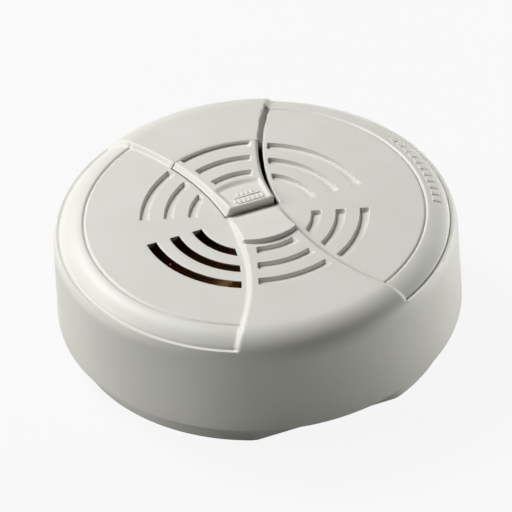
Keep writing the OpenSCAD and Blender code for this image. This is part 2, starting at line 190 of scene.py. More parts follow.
def low_card(name, azimuth, distance, power):
    """A long card that stands on the floor, lower than the face, and lights only the wall."""
    card = soft_light(name, azimuth, 0, 380, power, distance)
    card.data.shape = "RECTANGLE"
    card.data.size_y = 36 * MM
    card.location.z = 19 * MM
    card.visible_camera = False
    return card


low_card("right_card", -8, 260, 0.5)
low_card("left_card", 190, 260, 0.05)


def bright_to_the_eye(tree, seen, thrown, seen_strength):
    """Mix two shaders: one for the camera's rays and one for the light that is thrown."""
    path = add_node(tree, "ShaderNodeLightPath")
    part = add_node(tree, "ShaderNodeMath", {0: path.outputs["Is Camera Ray"]},
                    {1: seen_strength}, operation="MULTIPLY")
    both = add_node(tree, "ShaderNodeMixShader", {"Fac": part.outputs[0], 1: thrown, 2: seen})
    return both.outputs["Shader"]


world = bpy.data.worlds.new("studio")
world.use_nodes = True
sky = world.node_tree.nodes["Background"]
sky.inputs["Color"].default_value = linear("#FFFFFF")
sky.inputs["Strength"].default_value = 0.06
backdrop = add_node(world.node_tree, "ShaderNodeBackground",
                    sockets={"Color": linear("#FFFFFF"), "Strength": 1.0})
seen_sky = bright_to_the_eye(world.node_tree, backdrop.outputs[0], sky.outputs[0], 1.0)
world.node_tree.links.new(seen_sky, world.node_tree.nodes["World Output"].inputs["Surface"])
bpy.context.scene.world = world
bpy.context.scene.view_settings.view_transform = "Standard"

floor_bm = bmesh.new()
bmesh.ops.create_grid(floor_bm, x_segments=1, y_segments=1, size=3)
floor_mesh = bpy.data.meshes.new("floor")
floor_bm.to_mesh(floor_mesh)
floor_bm.free()
floor = bpy.data.objects.new("floor", floor_mesh)
bpy.context.scene.collection.objects.link(floor)
paper = bpy.data.materials.new("pale_paper")
paper.use_nodes = True
paper_tree = paper.node_tree
paper_surface = paper_tree.nodes["Principled BSDF"]
paper_surface.inputs["Base Color"].default_value = linear("#B4B4B2")
paper_surface.inputs["Roughness"].default_value = 0.9
glow = add_node(paper_tree, "ShaderNodeEmission", sockets={"Color": linear("#FFFFFF")})
seen_paper = bright_to_the_eye(paper_tree, glow.outputs[0], paper_surface.outputs[0], 0.9)
paper_tree.links.new(seen_paper, paper_tree.nodes["Material Output"].inputs["Surface"])
floor_mesh.materials.append(paper)
print("two soft lights, two low cards, a pale floor")

# %% [markdown]
# ## Warm white ABS
# The cover is injection-moulded ABS in a warm white. The mould is spark eroded, which
# leaves a grain of about a third of a millimetre, too fine to see one by one but enough
# to spread the highlights. Under it lies a slow waviness, where the wall sank as it
# cooled, and the pigment is a touch uneven. ABS has an index of refraction near 1.54.

# %% Finish: moulded ABS


def moulded_abs(name, tint, shade, roughness=0.46):
    """ABS from a spark-eroded mould, in two near tints of one colour."""
    material, tree, surface = new_finish(name)
    place = add_node(tree, "ShaderNodeTexCoord").outputs["Object"]
    grain_mm = 0.35
    grain = add_node(tree, "ShaderNodeTexNoise", {"Vector": place},
                     {"Scale": 1 / (grain_mm * MM), "Detail": 3.0, "Roughness": 0.6})
    sink_mm = 14.0
    sink = add_node(tree, "ShaderNodeTexNoise", {"Vector": place},
                    {"Scale": 1 / (sink_mm * MM), "Detail": 2.0, "Roughness": 0.4})
    cloud = add_node(tree, "ShaderNodeValToRGB", {"Fac": sink.outputs["Fac"]})
    cloud.color_ramp.elements[0].position = 0.35
    cloud.color_ramp.elements[0].color = linear(shade)
    cloud.color_ramp.elements[1].position = 0.65
    cloud.color_ramp.elements[1].color = linear(tint)
    tree.links.new(cloud.outputs["Color"], surface.inputs["Base Color"])
    gloss = add_node(tree, "ShaderNodeMapRange", {"Value": grain.outputs["Fac"]},
                     {"From Min": 0.3, "From Max": 0.7,
                      "To Min": roughness - 0.05, "To Max": roughness + 0.07})
    tree.links.new(gloss.outputs["Result"], surface.inputs["Roughness"])
    coarse = add_node(tree, "ShaderNodeBump", {"Height": sink.outputs["Fac"]},
                      {"Strength": 0.25, "Distance": 0.15 * MM})
    fine = add_node(tree, "ShaderNodeBump",
                    {"Height": grain.outputs["Fac"], "Normal": coarse.outputs["Normal"]},
                    {"Strength": 0.35, "Distance": 0.03 * MM})
    tree.links.new(fine.outputs["Normal"], surface.inputs["Normal"])
    surface.inputs["IOR"].default_value = 1.54
    return material


cover_abs = moulded_abs("warm_white_abs", "#E4E3DC", "#E1E0D8")
housing_abs = moulded_abs("inner_white_abs", "#DCDBD3", "#D6D5CC", roughness=0.4)
print("finishes:", cover_abs.name, housing_abs.name)

# %% [markdown]
# ## The hourglass
# Two big circles, one on each side, cut the round face into a raised hourglass panel and
# two lower side sectors. Their edge is measured as a distance: positive inside the panel,
# negative outside. The edge isn't sharp: the panel rises over a flank nearly two
# millimetres wide, which a smooth step draws.

# %% Distance to the hourglass and smooth steps


def smooth(value, low, high):
    """0 below low, 1 above high, and an S-shaped rise between."""
    t = min(max((value - low) / (high - low), 0), 1)
    return t * t * (3 - 2 * t)


def mix(a, b, t):
    """A value between a and b."""
    return a + (b - a) * t


def into_panel(x, y):
    """How far a point lies inside the hourglass, in millimetres."""
    return min(math.hypot(x + ARC_C, y), math.hypot(x - ARC_C, y)) - SIDE_ARC_R


FLANK_HALF = 0.75


def panel_weight(x, y):
    """0 on the side sectors, 1 on the panel."""
    return smooth(into_panel(x, y), -FLANK_HALF, FLANK_HALF)


print("flank is", 2 * FLANK_HALF, "mm wide")

# %% [markdown]
# ## Slots
# Three rings of slots run round the face, broken by two plain spokes and by the edges of
# the panel. Most are blind grooves that carry the pattern across the face. Only the group
# at the lower left goes right through, for the sound to leave and the air to enter. Each
# slot is described by how far a point lies inside it, so its corners come out round.

# %% Where the slots are
SLOT_OUTER = 35.7
SLOT_W = 3.2
SLOT_PITCH = 7.5
SLOT_RADII = [SLOT_OUTER - i * SLOT_PITCH for i in range(3)]
SLOT_END_GAP = 2.35
SLOT_DEPTH = 1.3
SLOT_WALL = 0.35
BACK_GROOVE = 1.6      # depth of the groove that carries the lever's right gap to the rim
BACK_GROOVE_WALLS = ((-1.2, -0.7), (-0.7, -0.1))   # where its two walls start and end
SPOKE = 20.0
PANEL_SLOT_HALF = 19.5
CORNER = 0.5


def rounded_least(*distances):
    """The least distance, rounded off where two are nearly the same."""
    least = distances[0]
    for d in distances[1:]:
        near = max(CORNER - abs(least - d), 0) / CORNER
        least = min(least, d) - near * near * CORNER / 4
    return least


def into_slot_ends(x, y, radius):
    """How far a point lies inside the angular ends of its group of slots."""
    into = into_panel(x, y)
    if into > -SLOT_END_GAP / 2:
        off_axis = math.degrees(math.atan2(abs(x), abs(y)))
        return radius * math.radians(PANEL_SLOT_HALF - off_axis)
    start = math.radians(0 if x * y > 0 else -SPOKE)
    along = math.atan2(y, x) if x > 0 else math.atan2(-y, -x)
    off_start = along - start if x * y > 0 else start - along
    return rounded_least(radius * math.sin(min(max(off_start, -1.5), 1.5)), -into - SLOT_END_GAP)


def into_slot(x, y):
    """How far a point lies inside the nearest slot, negative outside."""
    radius = math.hypot(x, y)
    across = max(min(r - radius, radius - (r - SLOT_W)) for r in SLOT_RADII)
    if across < -CORNER:
        return across
    return rounded_least(across, into_slot_ends(x, y, radius))


print("slot rings at", SLOT_RADII, "mm")

# %% [markdown]
# ## From a bmesh to a piece
# Every new piece ends the same way: doubles are merged, the normals are turned outwards,
# the faces are smooth apart from real corners, and the object stays at the origin. Then it
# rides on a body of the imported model, takes the place of a node where it stands for one,
# and gets its finish.

# %% Finish a piece


def piece(name, bm, body, finish, stands_for=(), corner=40.0):
    """Turn a bmesh, in millimetres, into a piece that rides on a body."""
    bmesh.ops.remove_doubles(bm, verts=bm.verts, dist=0.004)
    bmesh.ops.recalc_face_normals(bm, faces=bm.faces)
    bmesh.ops.scale(bm, vec=(MM, MM, MM), verts=bm.verts)
    mesh = bpy.data.meshes.new(name)
    bm.to_mesh(mesh)
    bm.free()
    mesh.shade_smooth()
    mesh.set_sharp_from_angle(angle=math.radians(corner))
    mesh.materials.append(finish)
    made = bpy.data.objects.new(name, mesh)
    bpy.context.scene.collection.objects.link(made)
    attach(made, body)
    if stands_for:
        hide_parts(*stands_for)
    return made


def triangles(made):
    """How many triangles a piece has once its modifiers are applied."""
    shown = made.evaluated_get(bpy.context.evaluated_depsgraph_get())
    return sum(len(p.vertices) - 2 for p in shown.data.polygons)


def cut_away(made, bm, corner=40.0, solver="EXACT"):
    """Subtract closed shapes, in millimetres, from a piece for good.

    A failed cut gives an empty or an unchanged mesh without an error, so both stop the
    script. The exact solver empties a piece whose cutters cross, and "MANIFOLD" doesn't.
    """
    bmesh.ops.recalc_face_normals(bm, faces=bm.faces)
    bmesh.ops.scale(bm, vec=(MM, MM, MM), verts=bm.verts)
    mesh = bpy.data.meshes.new("cutter")
    bm.to_mesh(mesh)
    bm.free()
    cutter = bpy.data.objects.new("cutter", mesh)
    bpy.context.scene.collection.objects.link(cutter)
    cut = made.modifiers.new("cut", "BOOLEAN")
    cut.operation = "DIFFERENCE"
    cut.solver = solver
    cut.object = cutter
    shown = made.evaluated_get(bpy.context.evaluated_depsgraph_get())
    result = bpy.data.meshes.new_from_object(shown)
    made.modifiers.clear()
    old = made.data
    if len(result.polygons) in (0, len(old.polygons)):
        raise RuntimeError("the cut did not work on " + made.name)
    made.data = result
    bpy.data.meshes.remove(old)
    result.name = made.name
    bpy.data.objects.remove(cutter)
    bpy.data.meshes.remove(mesh)
    while len(result.materials) > 1:
        result.materials.pop()
    result.polygons.foreach_set("material_index", [0] * len(result.polygons))
    made.data.shade_smooth()
    made.data.set_sharp_from_angle(angle=math.radians(corner))
    return made


def ring_sector(bm, r0, r1, z0, z1, start, span, steps=24):
    """Add a closed piece of a ring, made by spinning a rectangle round +Z."""
    turn = Matrix.Rotation(math.radians(start), 3, "Z")
    corners = [turn @ Vector((r, 0, z)) for r, z in ((r0, z0), (r1, z0), (r1, z1), (r0, z1))]
    face = bm.faces.new([bm.verts.new(c) for c in corners])
    bmesh.ops.spin(bm, geom=[face], cent=(0, 0, 0), axis=(0, 0, 1),
                   angle=math.radians(span), steps=steps, use_duplicate=False)


print("helpers for pieces ready")

# %% [markdown]
# ## The cover's section
# A drum is a turned shape, so the cover starts as a section that is spun round the axis.
# But this drum has two sections: the panel's, which rolls over the rim in one big round,
# and the side sectors', which ends in a lower band with a small ledge. So each row of the
# section knows both places, and after the spin every point is put between the two by how
# far it lies inside the hourglass. That also makes the flanks run over the rim.

# %% Rows of the section: (radius, height) on a side sector, then on the panel
RING_GROOVE_R = 53.0
BAND = 9.6             # rounding of the side sectors' band
BAND_C_Z = FACE_Z - BAND
BAND_END_R = 60.2
SHOULDER_C = WALL_R - SHOULDER
SHOULDER_Z = PANEL_Z - SHOULDER
GRID_STEP = 0.66
FINE_STEP = 0.4        # near the waist, where the flanks cross the rows
WALL_STEPS = (0, 0.12, 0.24, SLOT_WALL)
PAD_R = 15.8           # outer wall of the pad in front of the lever
PAD_START_Y = 1.8
PAD_SLOPE = 0.159
PAD_FLAT_R = 5.0       # inside this the pad is one plane, so one fan of faces draws it


def face_radii():
    """Radii of the rows on the face, close together where a slot or wall has its edge."""
    fixed = [RING_GROOVE_R + d for d in (-0.5, -0.25, 0)] + [PAD_R + d for d in (-0.3, 0, 0.3)]
    for outer in SLOT_RADII:
        fixed += [outer - d for d in WALL_STEPS] + [outer + 0.14]
        fixed += [outer - SLOT_W + d for d in WALL_STEPS] + [outer - SLOT_W - 0.14]
    rows, radius = sorted(fixed), PAD_FLAT_R
    even = []
    while radius < RING_GROOVE_R - GRID_STEP:
        step = FINE_STEP if radius < PAD_R else GRID_STEP
        if all(abs(radius - f) > 0.4 * step for f in rows):
            even.append(radius)
        radius += step
    return sorted(rows + even)


def section_rows():
    """The outer rows from the middle of the face to the skirt, as two places each."""
    rows = [((r, FACE_Z), (r, PANEL_Z)) for r in face_radii()]
    band_end = math.degrees(math.acos((BAND_END_R - RING_GROOVE_R) / BAND))
    meet = 30.0
    count = 18
    for i in range(1, count + 1):
        t = i / count
        a, b = math.radians(mix(90, band_end, t)), math.radians(mix(90, meet + 4, t))
        rows.append(((RING_GROOVE_R + BAND * math.cos(a), BAND_C_Z + BAND * math.sin(a)),
                     (SHOULDER_C + SHOULDER * math.cos(b), SHOULDER_Z + SHOULDER * math.sin(b))))
    ledge_r, ledge_z = rows[-1][0]
    for out, down, a in ((0.12, 0.3, 3), (0.3, 0.42, 2), (0.75, 0.46, 1)):
        b = math.radians(meet + a)
        rows.append(((ledge_r + out, ledge_z - down),
                     (SHOULDER_C + SHOULDER * math.cos(b), SHOULDER_Z + SHOULDER * math.sin(b))))
    for i in range(11):
        b = math.radians(mix(meet - 1, 0, i / 10))
        place = (SHOULDER_C + SHOULDER * math.cos(b), SHOULDER_Z + SHOULDER * math.sin(b))
        rows.append((place, place))
    for t in (0.1, 0.3, 0.55, 0.8, 0.97):
        place = (mix(WALL_R, SKIRT_R, t), mix(SHOULDER_Z, SKIRT_Z, t))
        rows.append((place, place))
    return rows


def inner_rows():
    """The rows of the rounded skirt edge, the inner wall and the roof, back to the middle."""
    wall = 2.2
    flat = [(SKIRT_R - 0.1, SKIRT_Z + 0.25), (SKIRT_R - 0.4, SKIRT_Z),
            (SKIRT_R - wall + 0.3, SKIRT_Z), (SKIRT_R - wall, SKIRT_Z + 0.3),
            (WALL_R - wall, SHOULDER_Z)]
    inner = SHOULDER - 3.2
    for a in (20, 40, 60, 78, 90):
        b = math.radians(a)
        flat.append((WALL_R - wall - inner + inner * math.cos(b),
                     SHOULDER_Z + inner * math.sin(b)))
    return flat + [(40, ROOF_Z), (25, ROOF_Z), (12, ROOF_Z), (5, ROOF_Z)]


print(len(section_rows()), "outer rows and", len(inner_rows()), "inner rows")

# %% [markdown]
# ## Relief of the face
# The face isn't flat anywhere near the middle. In front of the lever a pad slopes up away
# from the waist and ends in a low curved wall. The slots are pressed in, a thin groove
# rings the side sectors, and the edges of the lever's opening are rounded. One function
# gives the height of the face at any point, and the spun points are moved to it.

# %% Height of the face
RING_GROOVE_DEPTH = 0.5
RING_GROOVE_HALF = 0.5
OPENING_ROUND = 0.3
OPENING_SIDE = 0.9      # how far the opening reaches past the panel's edge
OPEN_EDGE = 0.12        # rounding of the edges of the slots that go through


def pad_height(y):
    """Height of the sloping pad in front of the lever."""
    return FACE_Z + (PAD_START_Y - y) * PAD_SLOPE


def into_opening(x, y):
    """How far a point lies inside the lever's opening, negative outside."""
    return min(into_panel(x, y) + OPENING_SIDE, y - PAD_START_Y, SLOT_OUTER - math.hypot(x, y))


def face_height(x, y):
    """Height of the cover's face at a point inside the ring groove."""
    radius = math.hypot(x, y)
    top = PANEL_Z
    if y < PAD_START_Y + 4 and radius < PAD_R + 1:
        top = mix(PANEL_Z, pad_height(y), smooth(PAD_R + 0.3 - radius, 0, 0.6))
    z = mix(FACE_Z, top, panel_weight(x, y))
    if x < 0 and y < 0 and into_panel(x, y) < -SLOT_END_GAP / 2:
        z -= OPEN_EDGE * smooth(into_slot(x, y), -OPEN_EDGE, OPEN_EDGE)
    elif not (y > 0 and into_panel(x, y) > -SLOT_END_GAP / 2):
        z -= SLOT_DEPTH * smooth(into_slot(x, y), 0, SLOT_WALL)
    if x > 0 and y > 0 and radius > SLOT_OUTER:
        inside = into_panel(x, y)
        outer_wall, inner_wall = BACK_GROOVE_WALLS
        in_groove = min(smooth(inside, *outer_wall), smooth(-inside, *inner_wall))
        z -= BACK_GROOVE * in_groove * smooth(radius, SLOT_OUTER, SLOT_OUTER + 1)
    if y > PAD_START_Y - 1 and radius > PAD_FLAT_R:
        z -= OPENING_ROUND * smooth(into_opening(x, y), -OPENING_ROUND, OPENING_ROUND)
    return z


# %% Spin the section and put every point in its place
COVER_STEPS = 600


def spun_cover():
    """The whole cover as one closed shell, without its openings."""
    bm = bmesh.new()
    row_of = bm.verts.layers.int.new("row")
    outer = section_rows()
    line = [a for a, b in outer] + inner_rows()
    verts = [bm.verts.new((r, 0, z)) for r, z in line]
    for i, v in enumerate(verts):
        v[row_of] = i + 1
    edges = [bm.edges.new(pair) for pair in zip(verts, verts[1:])]
    bmesh.ops.spin(bm, geom=verts + edges, cent=(0, 0, 0), axis=(0, 0, 1),
                   angle=2 * math.pi, steps=COVER_STEPS, use_merge=True)
    flat_rows = len(face_radii())
    for v in bm.verts:
        row = v[row_of] - 1
        if row >= len(outer):
            continue
        x, y = v.co.x, v.co.y
        if row < flat_rows:
            v.co.z = face_height(x, y)
        else:
            w = panel_weight(x, y)
            side, panel = outer[row]
            stretch = mix(side[0], panel[0], w) / math.hypot(x, y)
            v.co = Vector((x * stretch, y * stretch, mix(side[1], panel[1], w)))
        if row <= flat_rows:
            off = abs(math.hypot(v.co.x, v.co.y) - RING_GROOVE_R)
            groove = 1 - smooth(off, 0, RING_GROOVE_HALF)
            v.co.z -= RING_GROOVE_DEPTH * groove * (1 - panel_weight(x, y))
    close_middle(bm)
    return bm


def close_middle(bm):
    """Close the two round holes at the axis with fans of faces."""
    rims = [e for e in bm.edges if e.is_boundary]
    for upper in (True, False):
        ring = [e for e in rims if (e.verts[0].co.z > (FACE_Z + ROOF_Z) / 2) == upper]
        middle = bm.verts.new((0, 0, pad_height(0) if upper else ROOF_Z))
        for e in ring:
            bm.faces.new((*e.verts, middle))


cover_bm = spun_cover()
print(len(cover_bm.faces), "faces before cutting")

# %% [markdown]
# ## Openings in the cover
# Two things go right through: the lower left group of slots, and the opening that the
# lever moves in. Both are cut with closed cutters. A cutter for a slot is a piece of a
# ring whose far end follows the panel's edge, and the lever's cutter is an outline with
# two curved sides.

# %% Cutters
LIP = 0.4              # thickness of the face at the edge of a through slot
UNDERCUT = 2.0         # how much wider the slot is below the lip, towards the axis
OUTER_SHARE = 0.4      # share of that on the outer side


def slot_end(radius, gap):
    """Angle from +X at which a circle meets the left side arc, kept off it by a gap."""
    reach = SIDE_ARC_R - gap
    return math.acos((reach ** 2 - radius ** 2 - ARC_C ** 2) / (2 * radius * ARC_C))


def slot_cutter(bm, outer):
    """Add a closed cutter for one through slot of the lower left group.

    It widens below a thin lip, so no wall shows between the face and the dark inside.
    """
    steps = 48
    lip = FACE_Z - LIP
    inner = ((UNDERCUT, ROOF_Z - 4), (UNDERCUT, lip), (0, lip), (0, FACE_Z + 4))
    corners = [(outer - SLOT_W - wide, z, wide) for wide, z in inner]
    corners += [(outer + wide * OUTER_SHARE, z, wide) for wide, z in reversed(inner)]
    rows = []
    for i in range(steps + 1):
        row = []
        for radius, z, wide in corners:
            start = math.pi - wide / radius
            end = 2 * math.pi - slot_end(radius, SLOT_END_GAP - wide)
            a = mix(start, end, i / steps)
            row.append(bm.verts.new((radius * math.cos(a), radius * math.sin(a), z)))
        rows.append(row)
    count = len(corners)
    loops = [[bm.edges.new((row[k], row[(k + 1) % count])) for k in range(count)] for row in rows]
    for a, b in zip(loops, loops[1:]):
        bmesh.ops.bridge_loops(bm, edges=a + b)
    for loop in (loops[0], loops[-1]):
        bmesh.ops.contextual_create(bm, geom=loop)


def side_x(y, inset, side):
    """X of the hourglass's edge at a height y, moved inwards."""
    return side * (ARC_C - math.sqrt((SIDE_ARC_R + inset) ** 2 - y ** 2))


def lever_outline(front_y, outer, inset_left, inset_right):
    """Points round the lever or its opening, in order."""
    count = 28

    def edge(side, inset):
        low, high = front_y, outer
        for _ in range(30):
            y = (low + high) / 2
            low, high = (y, high) if math.hypot(side_x(y, inset, side), y) < outer else (low, y)
        ys = [mix(front_y, low, i / count) for i in range(count + 1)]
        return [(side_x(y, inset, side), y) for y in ys]

    right_edge, left_edge = edge(1, inset_right), edge(-1, inset_left)
    a0 = math.atan2(right_edge[-1][1], right_edge[-1][0])
    a1 = math.atan2(left_edge[-1][1], left_edge[-1][0])
    arc = [(outer * math.cos(a), outer * math.sin(a))
           for a in (mix(a0, a1, i / 40) for i in range(1, 40))]
    return right_edge + arc + left_edge[::-1]


def opening_cutter(bm):
    """Add a closed cutter for the lever's opening."""
    outline = lever_outline(PAD_START_Y, SLOT_OUTER, -OPENING_SIDE, -OPENING_SIDE)
    face = bm.faces.new([bm.verts.new((x, y, 30)) for x, y in outline])
    raised = bmesh.ops.extrude_face_region(bm, geom=[face])
    top = [g for g in raised["geom"] if isinstance(g, bmesh.types.BMVert)]
    bmesh.ops.translate(bm, vec=(0, 0, 20), verts=top)


cutters = bmesh.new()
for slot_radius in SLOT_RADII:
    slot_cutter(cutters, slot_radius)
opening_cutter(cutters)
front_cover = piece("front_cover_shell", cover_bm, "alarm", cover_abs,
                    ["front_cover"], corner=50)
cut_away(front_cover, cutters, corner=50)
print("cover:", triangles(front_cover), "triangles")

# %% [markdown]
# ## Warning bars on the rim
# A row of small raised bars follows the right side of the rim, moulded with the cover. Each
# starts as a cube that is bent to the rim: two of its faces lie on circles round the axis,
# and its top follows the band. A small bevel keeps the edges from looking cut from paper.

# %% Bars on the rim
RIM_BARS = 11
BAR_PITCH = 3.4        # degrees
BAR_SPAN = 2.2
BAR_RISE = 0.4


def band_height(radius):
    """Height of the side sectors' band at a radius."""
    return BAND_C_Z + math.sqrt(BAND ** 2 - (radius - RING_GROOVE_R) ** 2)


bars_bm = bmesh.new()
for i in range(RIM_BARS):
    middle = (i - (RIM_BARS - 1) / 2) * BAR_PITCH
    bar = bmesh.ops.create_cube(bars_bm, size=1)["verts"]
    for v in bar:
        angle = math.radians(middle + v.co.y * BAR_SPAN)
        radius = 56.6 + v.co.x * 2.4
        height = band_height(radius) + (BAR_RISE if v.co.z > 0 else -0.6)
        v.co = Vector((radius * math.cos(angle), radius * math.sin(angle), height))
    edges = list({e for v in bar for e in v.link_edges})
    bmesh.ops.bevel(bars_bm, geom=edges, offset=0.16, affect="EDGES", segments=2, profile=0.5,
                    material=-1)
rim_bars = piece("rim_bars", bars_bm, "alarm", cover_abs)
print("rim bars:", triangles(rim_bars), "triangles")

# %% [markdown]
# ## The test lever
# The lever is one long moulding that fills the inner end of the hourglass. Its top carries
# on the slots of the panel, and its tip is a thumb dish between two rims, with a steep
# front. A grid of faces takes that shape well: its rows bend from the straight front edge to
# arcs round the axis, its columns crowd near the two sides, and one function lifts every
# point. The grid is then extruded down to a flat underside.

# %% Shape of the lever's top
LEVER_FRONT_Y = 2.3
LEVER_R = SLOT_OUTER - 0.3
LEVER_UNDER_Z = ROOF_Z + 0.6
LEVER_LEFT = -OPENING_SIDE + 0.45      # gaps of 0.45 mm at the left and 1.5 mm at the right
LEVER_RIGHT = -OPENING_SIDE + 1.5
THUMB_R = 16.6
THUMB_FRONT_Z = FACE_Z + 2.85
THUMB_SLOPE = 0.186
THUMB_BACK_Y = 14.5
DISH_LOW_Z = FACE_Z + 0.35
TIP_CORNER = 0.9


def lever_top(x, y):
    """Height of the lever's top at a point."""
    radius = math.hypot(x, y)
    left = math.hypot(x + ARC_C, y) - SIDE_ARC_R
    right = math.hypot(x - ARC_C, y) - SIDE_ARC_R
    back = (y - LEVER_FRONT_Y) / (THUMB_BACK_Y - LEVER_FRONT_Y)
    rim = mix(THUMB_FRONT_Z, PANEL_Z, min(back, 1))
    dish = max(THUMB_FRONT_Z - 0.2 - THUMB_SLOPE * (y - LEVER_FRONT_Y), DISH_LOW_Z)
    in_dish = min(smooth(left, 1.3, 3.0), smooth(right, 1.5, 2.6), smooth(y, 2.7, 3.6))
    thumb = mix(rim, dish, in_dish)
    top = mix(PANEL_Z, thumb, smooth(THUMB_R - radius, -0.2, 2.0))
    top = mix(FACE_Z, top, smooth(left, LEVER_LEFT, 1.2))
    top -= 0.5 * (1 - smooth(right, LEVER_RIGHT, LEVER_RIGHT + 0.8))
    top -= 0.35 * (1 - smooth(y, LEVER_FRONT_Y, LEVER_FRONT_Y + 0.4))
    if radius > THUMB_R:
        top -= SLOT_DEPTH * smooth(into_slot(x, y), 0, SLOT_WALL)
    return top


def row_curves():
    """The rows, each a function from x to y, from the front edge to the curved end."""
    shares = [0, 0.008, 0.018, 0.03, 0.045] + [i / 30 for i in range(2, 30)]
    shares += [0.975, 0.985, 1]
    radii = [THUMB_R + 0.3, LEVER_R]
    for outer in SLOT_RADII:
        radii += [outer + 0.14] + [outer - d for d in WALL_STEPS]
        radii += [outer - SLOT_W - 0.14] + [outer - SLOT_W + d for d in WALL_STEPS]
    steps = int((LEVER_R - THUMB_R) / GRID_STEP)
    even = [mix(THUMB_R, LEVER_R, i / steps) for i in range(1, steps)]
    radii += [r for r in even if all(abs(r - f) > 0.4 * GRID_STEP for f in radii)]
    thumb = [lambda x, w=w: mix(LEVER_FRONT_Y, math.sqrt(THUMB_R ** 2 - x * x), w) for w in shares]
    return thumb + [lambda x, r=r: math.sqrt(r * r - x * x) for r in sorted(radii) if r <= LEVER_R]


def row_end(curve, inset, side):
    """X at which a row meets one side of the lever."""
    x = side * WAIST_HALF
    for _ in range(12):
        x = side_x(curve(x), inset, side)
    corner = max(TIP_CORNER - (curve(x) - LEVER_FRONT_Y), 0)
    return x - side * (TIP_CORNER - math.sqrt(TIP_CORNER ** 2 - corner ** 2))


# %% Grid of the lever
EDGE_OFFSETS = [0, 0.1, 0.22, 0.38, 0.58, 0.8, 1.05, 1.3, 1.6, 1.9, 2.25, 2.6]
MIDDLE_COLUMNS = 48

curves = row_curves()
columns = 2 * len(EDGE_OFFSETS) + MIDDLE_COLUMNS
lever_bm = bmesh.new()
bmesh.ops.create_grid(lever_bm, x_segments=columns - 1, y_segments=len(curves) - 1, size=1)
for v in lever_bm.verts:
    column = round((v.co.x + 1) / 2 * (columns - 1))
    curve = curves[round((v.co.y + 1) / 2 * (len(curves) - 1))]
    low, high = row_end(curve, LEVER_LEFT, -1), row_end(curve, LEVER_RIGHT, 1)
    near = len(EDGE_OFFSETS)
    if column < near:
        x = low + EDGE_OFFSETS[column]
    elif column >= columns - near:
        x = high - EDGE_OFFSETS[columns - 1 - column]
    else:
        share = (column - near + 1) / (MIDDLE_COLUMNS + 1)
        x = mix(low + EDGE_OFFSETS[-1], high - EDGE_OFFSETS[-1], share)
    y = curve(x)
    v.co = Vector((x, y, lever_top(x, y)))
walls = bmesh.ops.extrude_face_region(lever_bm, geom=lever_bm.faces[:])
for v in walls["geom"]:
    if isinstance(v, bmesh.types.BMVert):
        v.co.z = LEVER_UNDER_Z
print(len(lever_bm.faces), "faces on the lever")


# %% Small solids that several pieces need


def block(bm, low, high, rounding=0.15, segments=2):
    """Add a box between two corners, with bevelled edges."""
    low, high = Vector(low), Vector(high)
    made = bmesh.ops.create_cube(bm, size=1)["verts"]
    for v in made:
        v.co = Vector([mix(low[k], high[k], v.co[k] + 0.5) for k in range(3)])
    edges = list({e for v in made for e in v.link_edges})
    bmesh.ops.bevel(bm, geom=edges, offset=rounding, affect="EDGES", segments=segments,
                    profile=0.5, material=-1)


def turned(bm, section, place=(0, 0, 0), axis="Z", steps=48):
    """Spin a section of (radius, height) points to a closed solid with its axis at a place."""
    verts = [bm.verts.new((r, 0, z)) for r, z in section]
    edges = [bm.edges.new(pair) for pair in zip(verts, verts[1:])]
    spun = bmesh.ops.spin(bm, geom=verts + edges, cent=(0, 0, 0), axis=(0, 0, 1),
                          angle=2 * math.pi, steps=steps, use_merge=True)
    solid = set(verts) | {g for g in spun["geom_last"] if isinstance(g, bmesh.types.BMVert)}
    grown = True
    while grown:
        beside = {e.other_vert(v) for v in solid for e in v.link_edges} - solid
        solid |= beside
        grown = bool(beside)
    tilt = {"Z": Matrix.Identity(3), "X": Matrix.Rotation(math.pi / 2, 3, "Y"),
            "Y": Matrix.Rotation(-math.pi / 2, 3, "X")}[axis]
    for v in solid:
        v.co = tilt @ v.co + Vector(place)
    return list(solid)


def rounded(radius, low, high, edge, steps=3):
    """Section of a solid cylinder with both edges rounded, from axis to axis."""
    lower = [(radius - edge + edge * math.sin(a), low + edge - edge * math.cos(a))
             for a in (math.pi / 2 * i / steps for i in range(steps + 1))]
    upper = [(r, low + high - z) for r, z in reversed(lower)]
    return [(0, low)] + lower + upper + [(0, high)]


# %% Ribs, post and pivots of the lever
PIVOT_Y = 33.5
PIVOT_Z = FACE_Z - 3.7
RIB_ROWS = ((9.6, 4, 1.55, 0.5, 1.9), (5.7, 7, 1.5, 0.5, 2.0))


def standing_rib(bm, x, y, width, length):
    """A short rounded rib on the thumb dish, sunk a little into it."""
    low_z = lever_top(x, y - length / 2) - 0.5
    made = bmesh.ops.create_cube(bm, size=1)["verts"]
    for v in made:
        px, py = x + v.co.x * width, y + v.co.y * length
        v.co = Vector((px, py, lever_top(x, py) + 0.28 if v.co.z > 0 else low_z - 0.2))
    edges = list({e for v in made for e in v.link_edges})
    bmesh.ops.bevel(bm, geom=edges, offset=0.12, affect="EDGES", segments=2, profile=0.5,
                    material=-1)


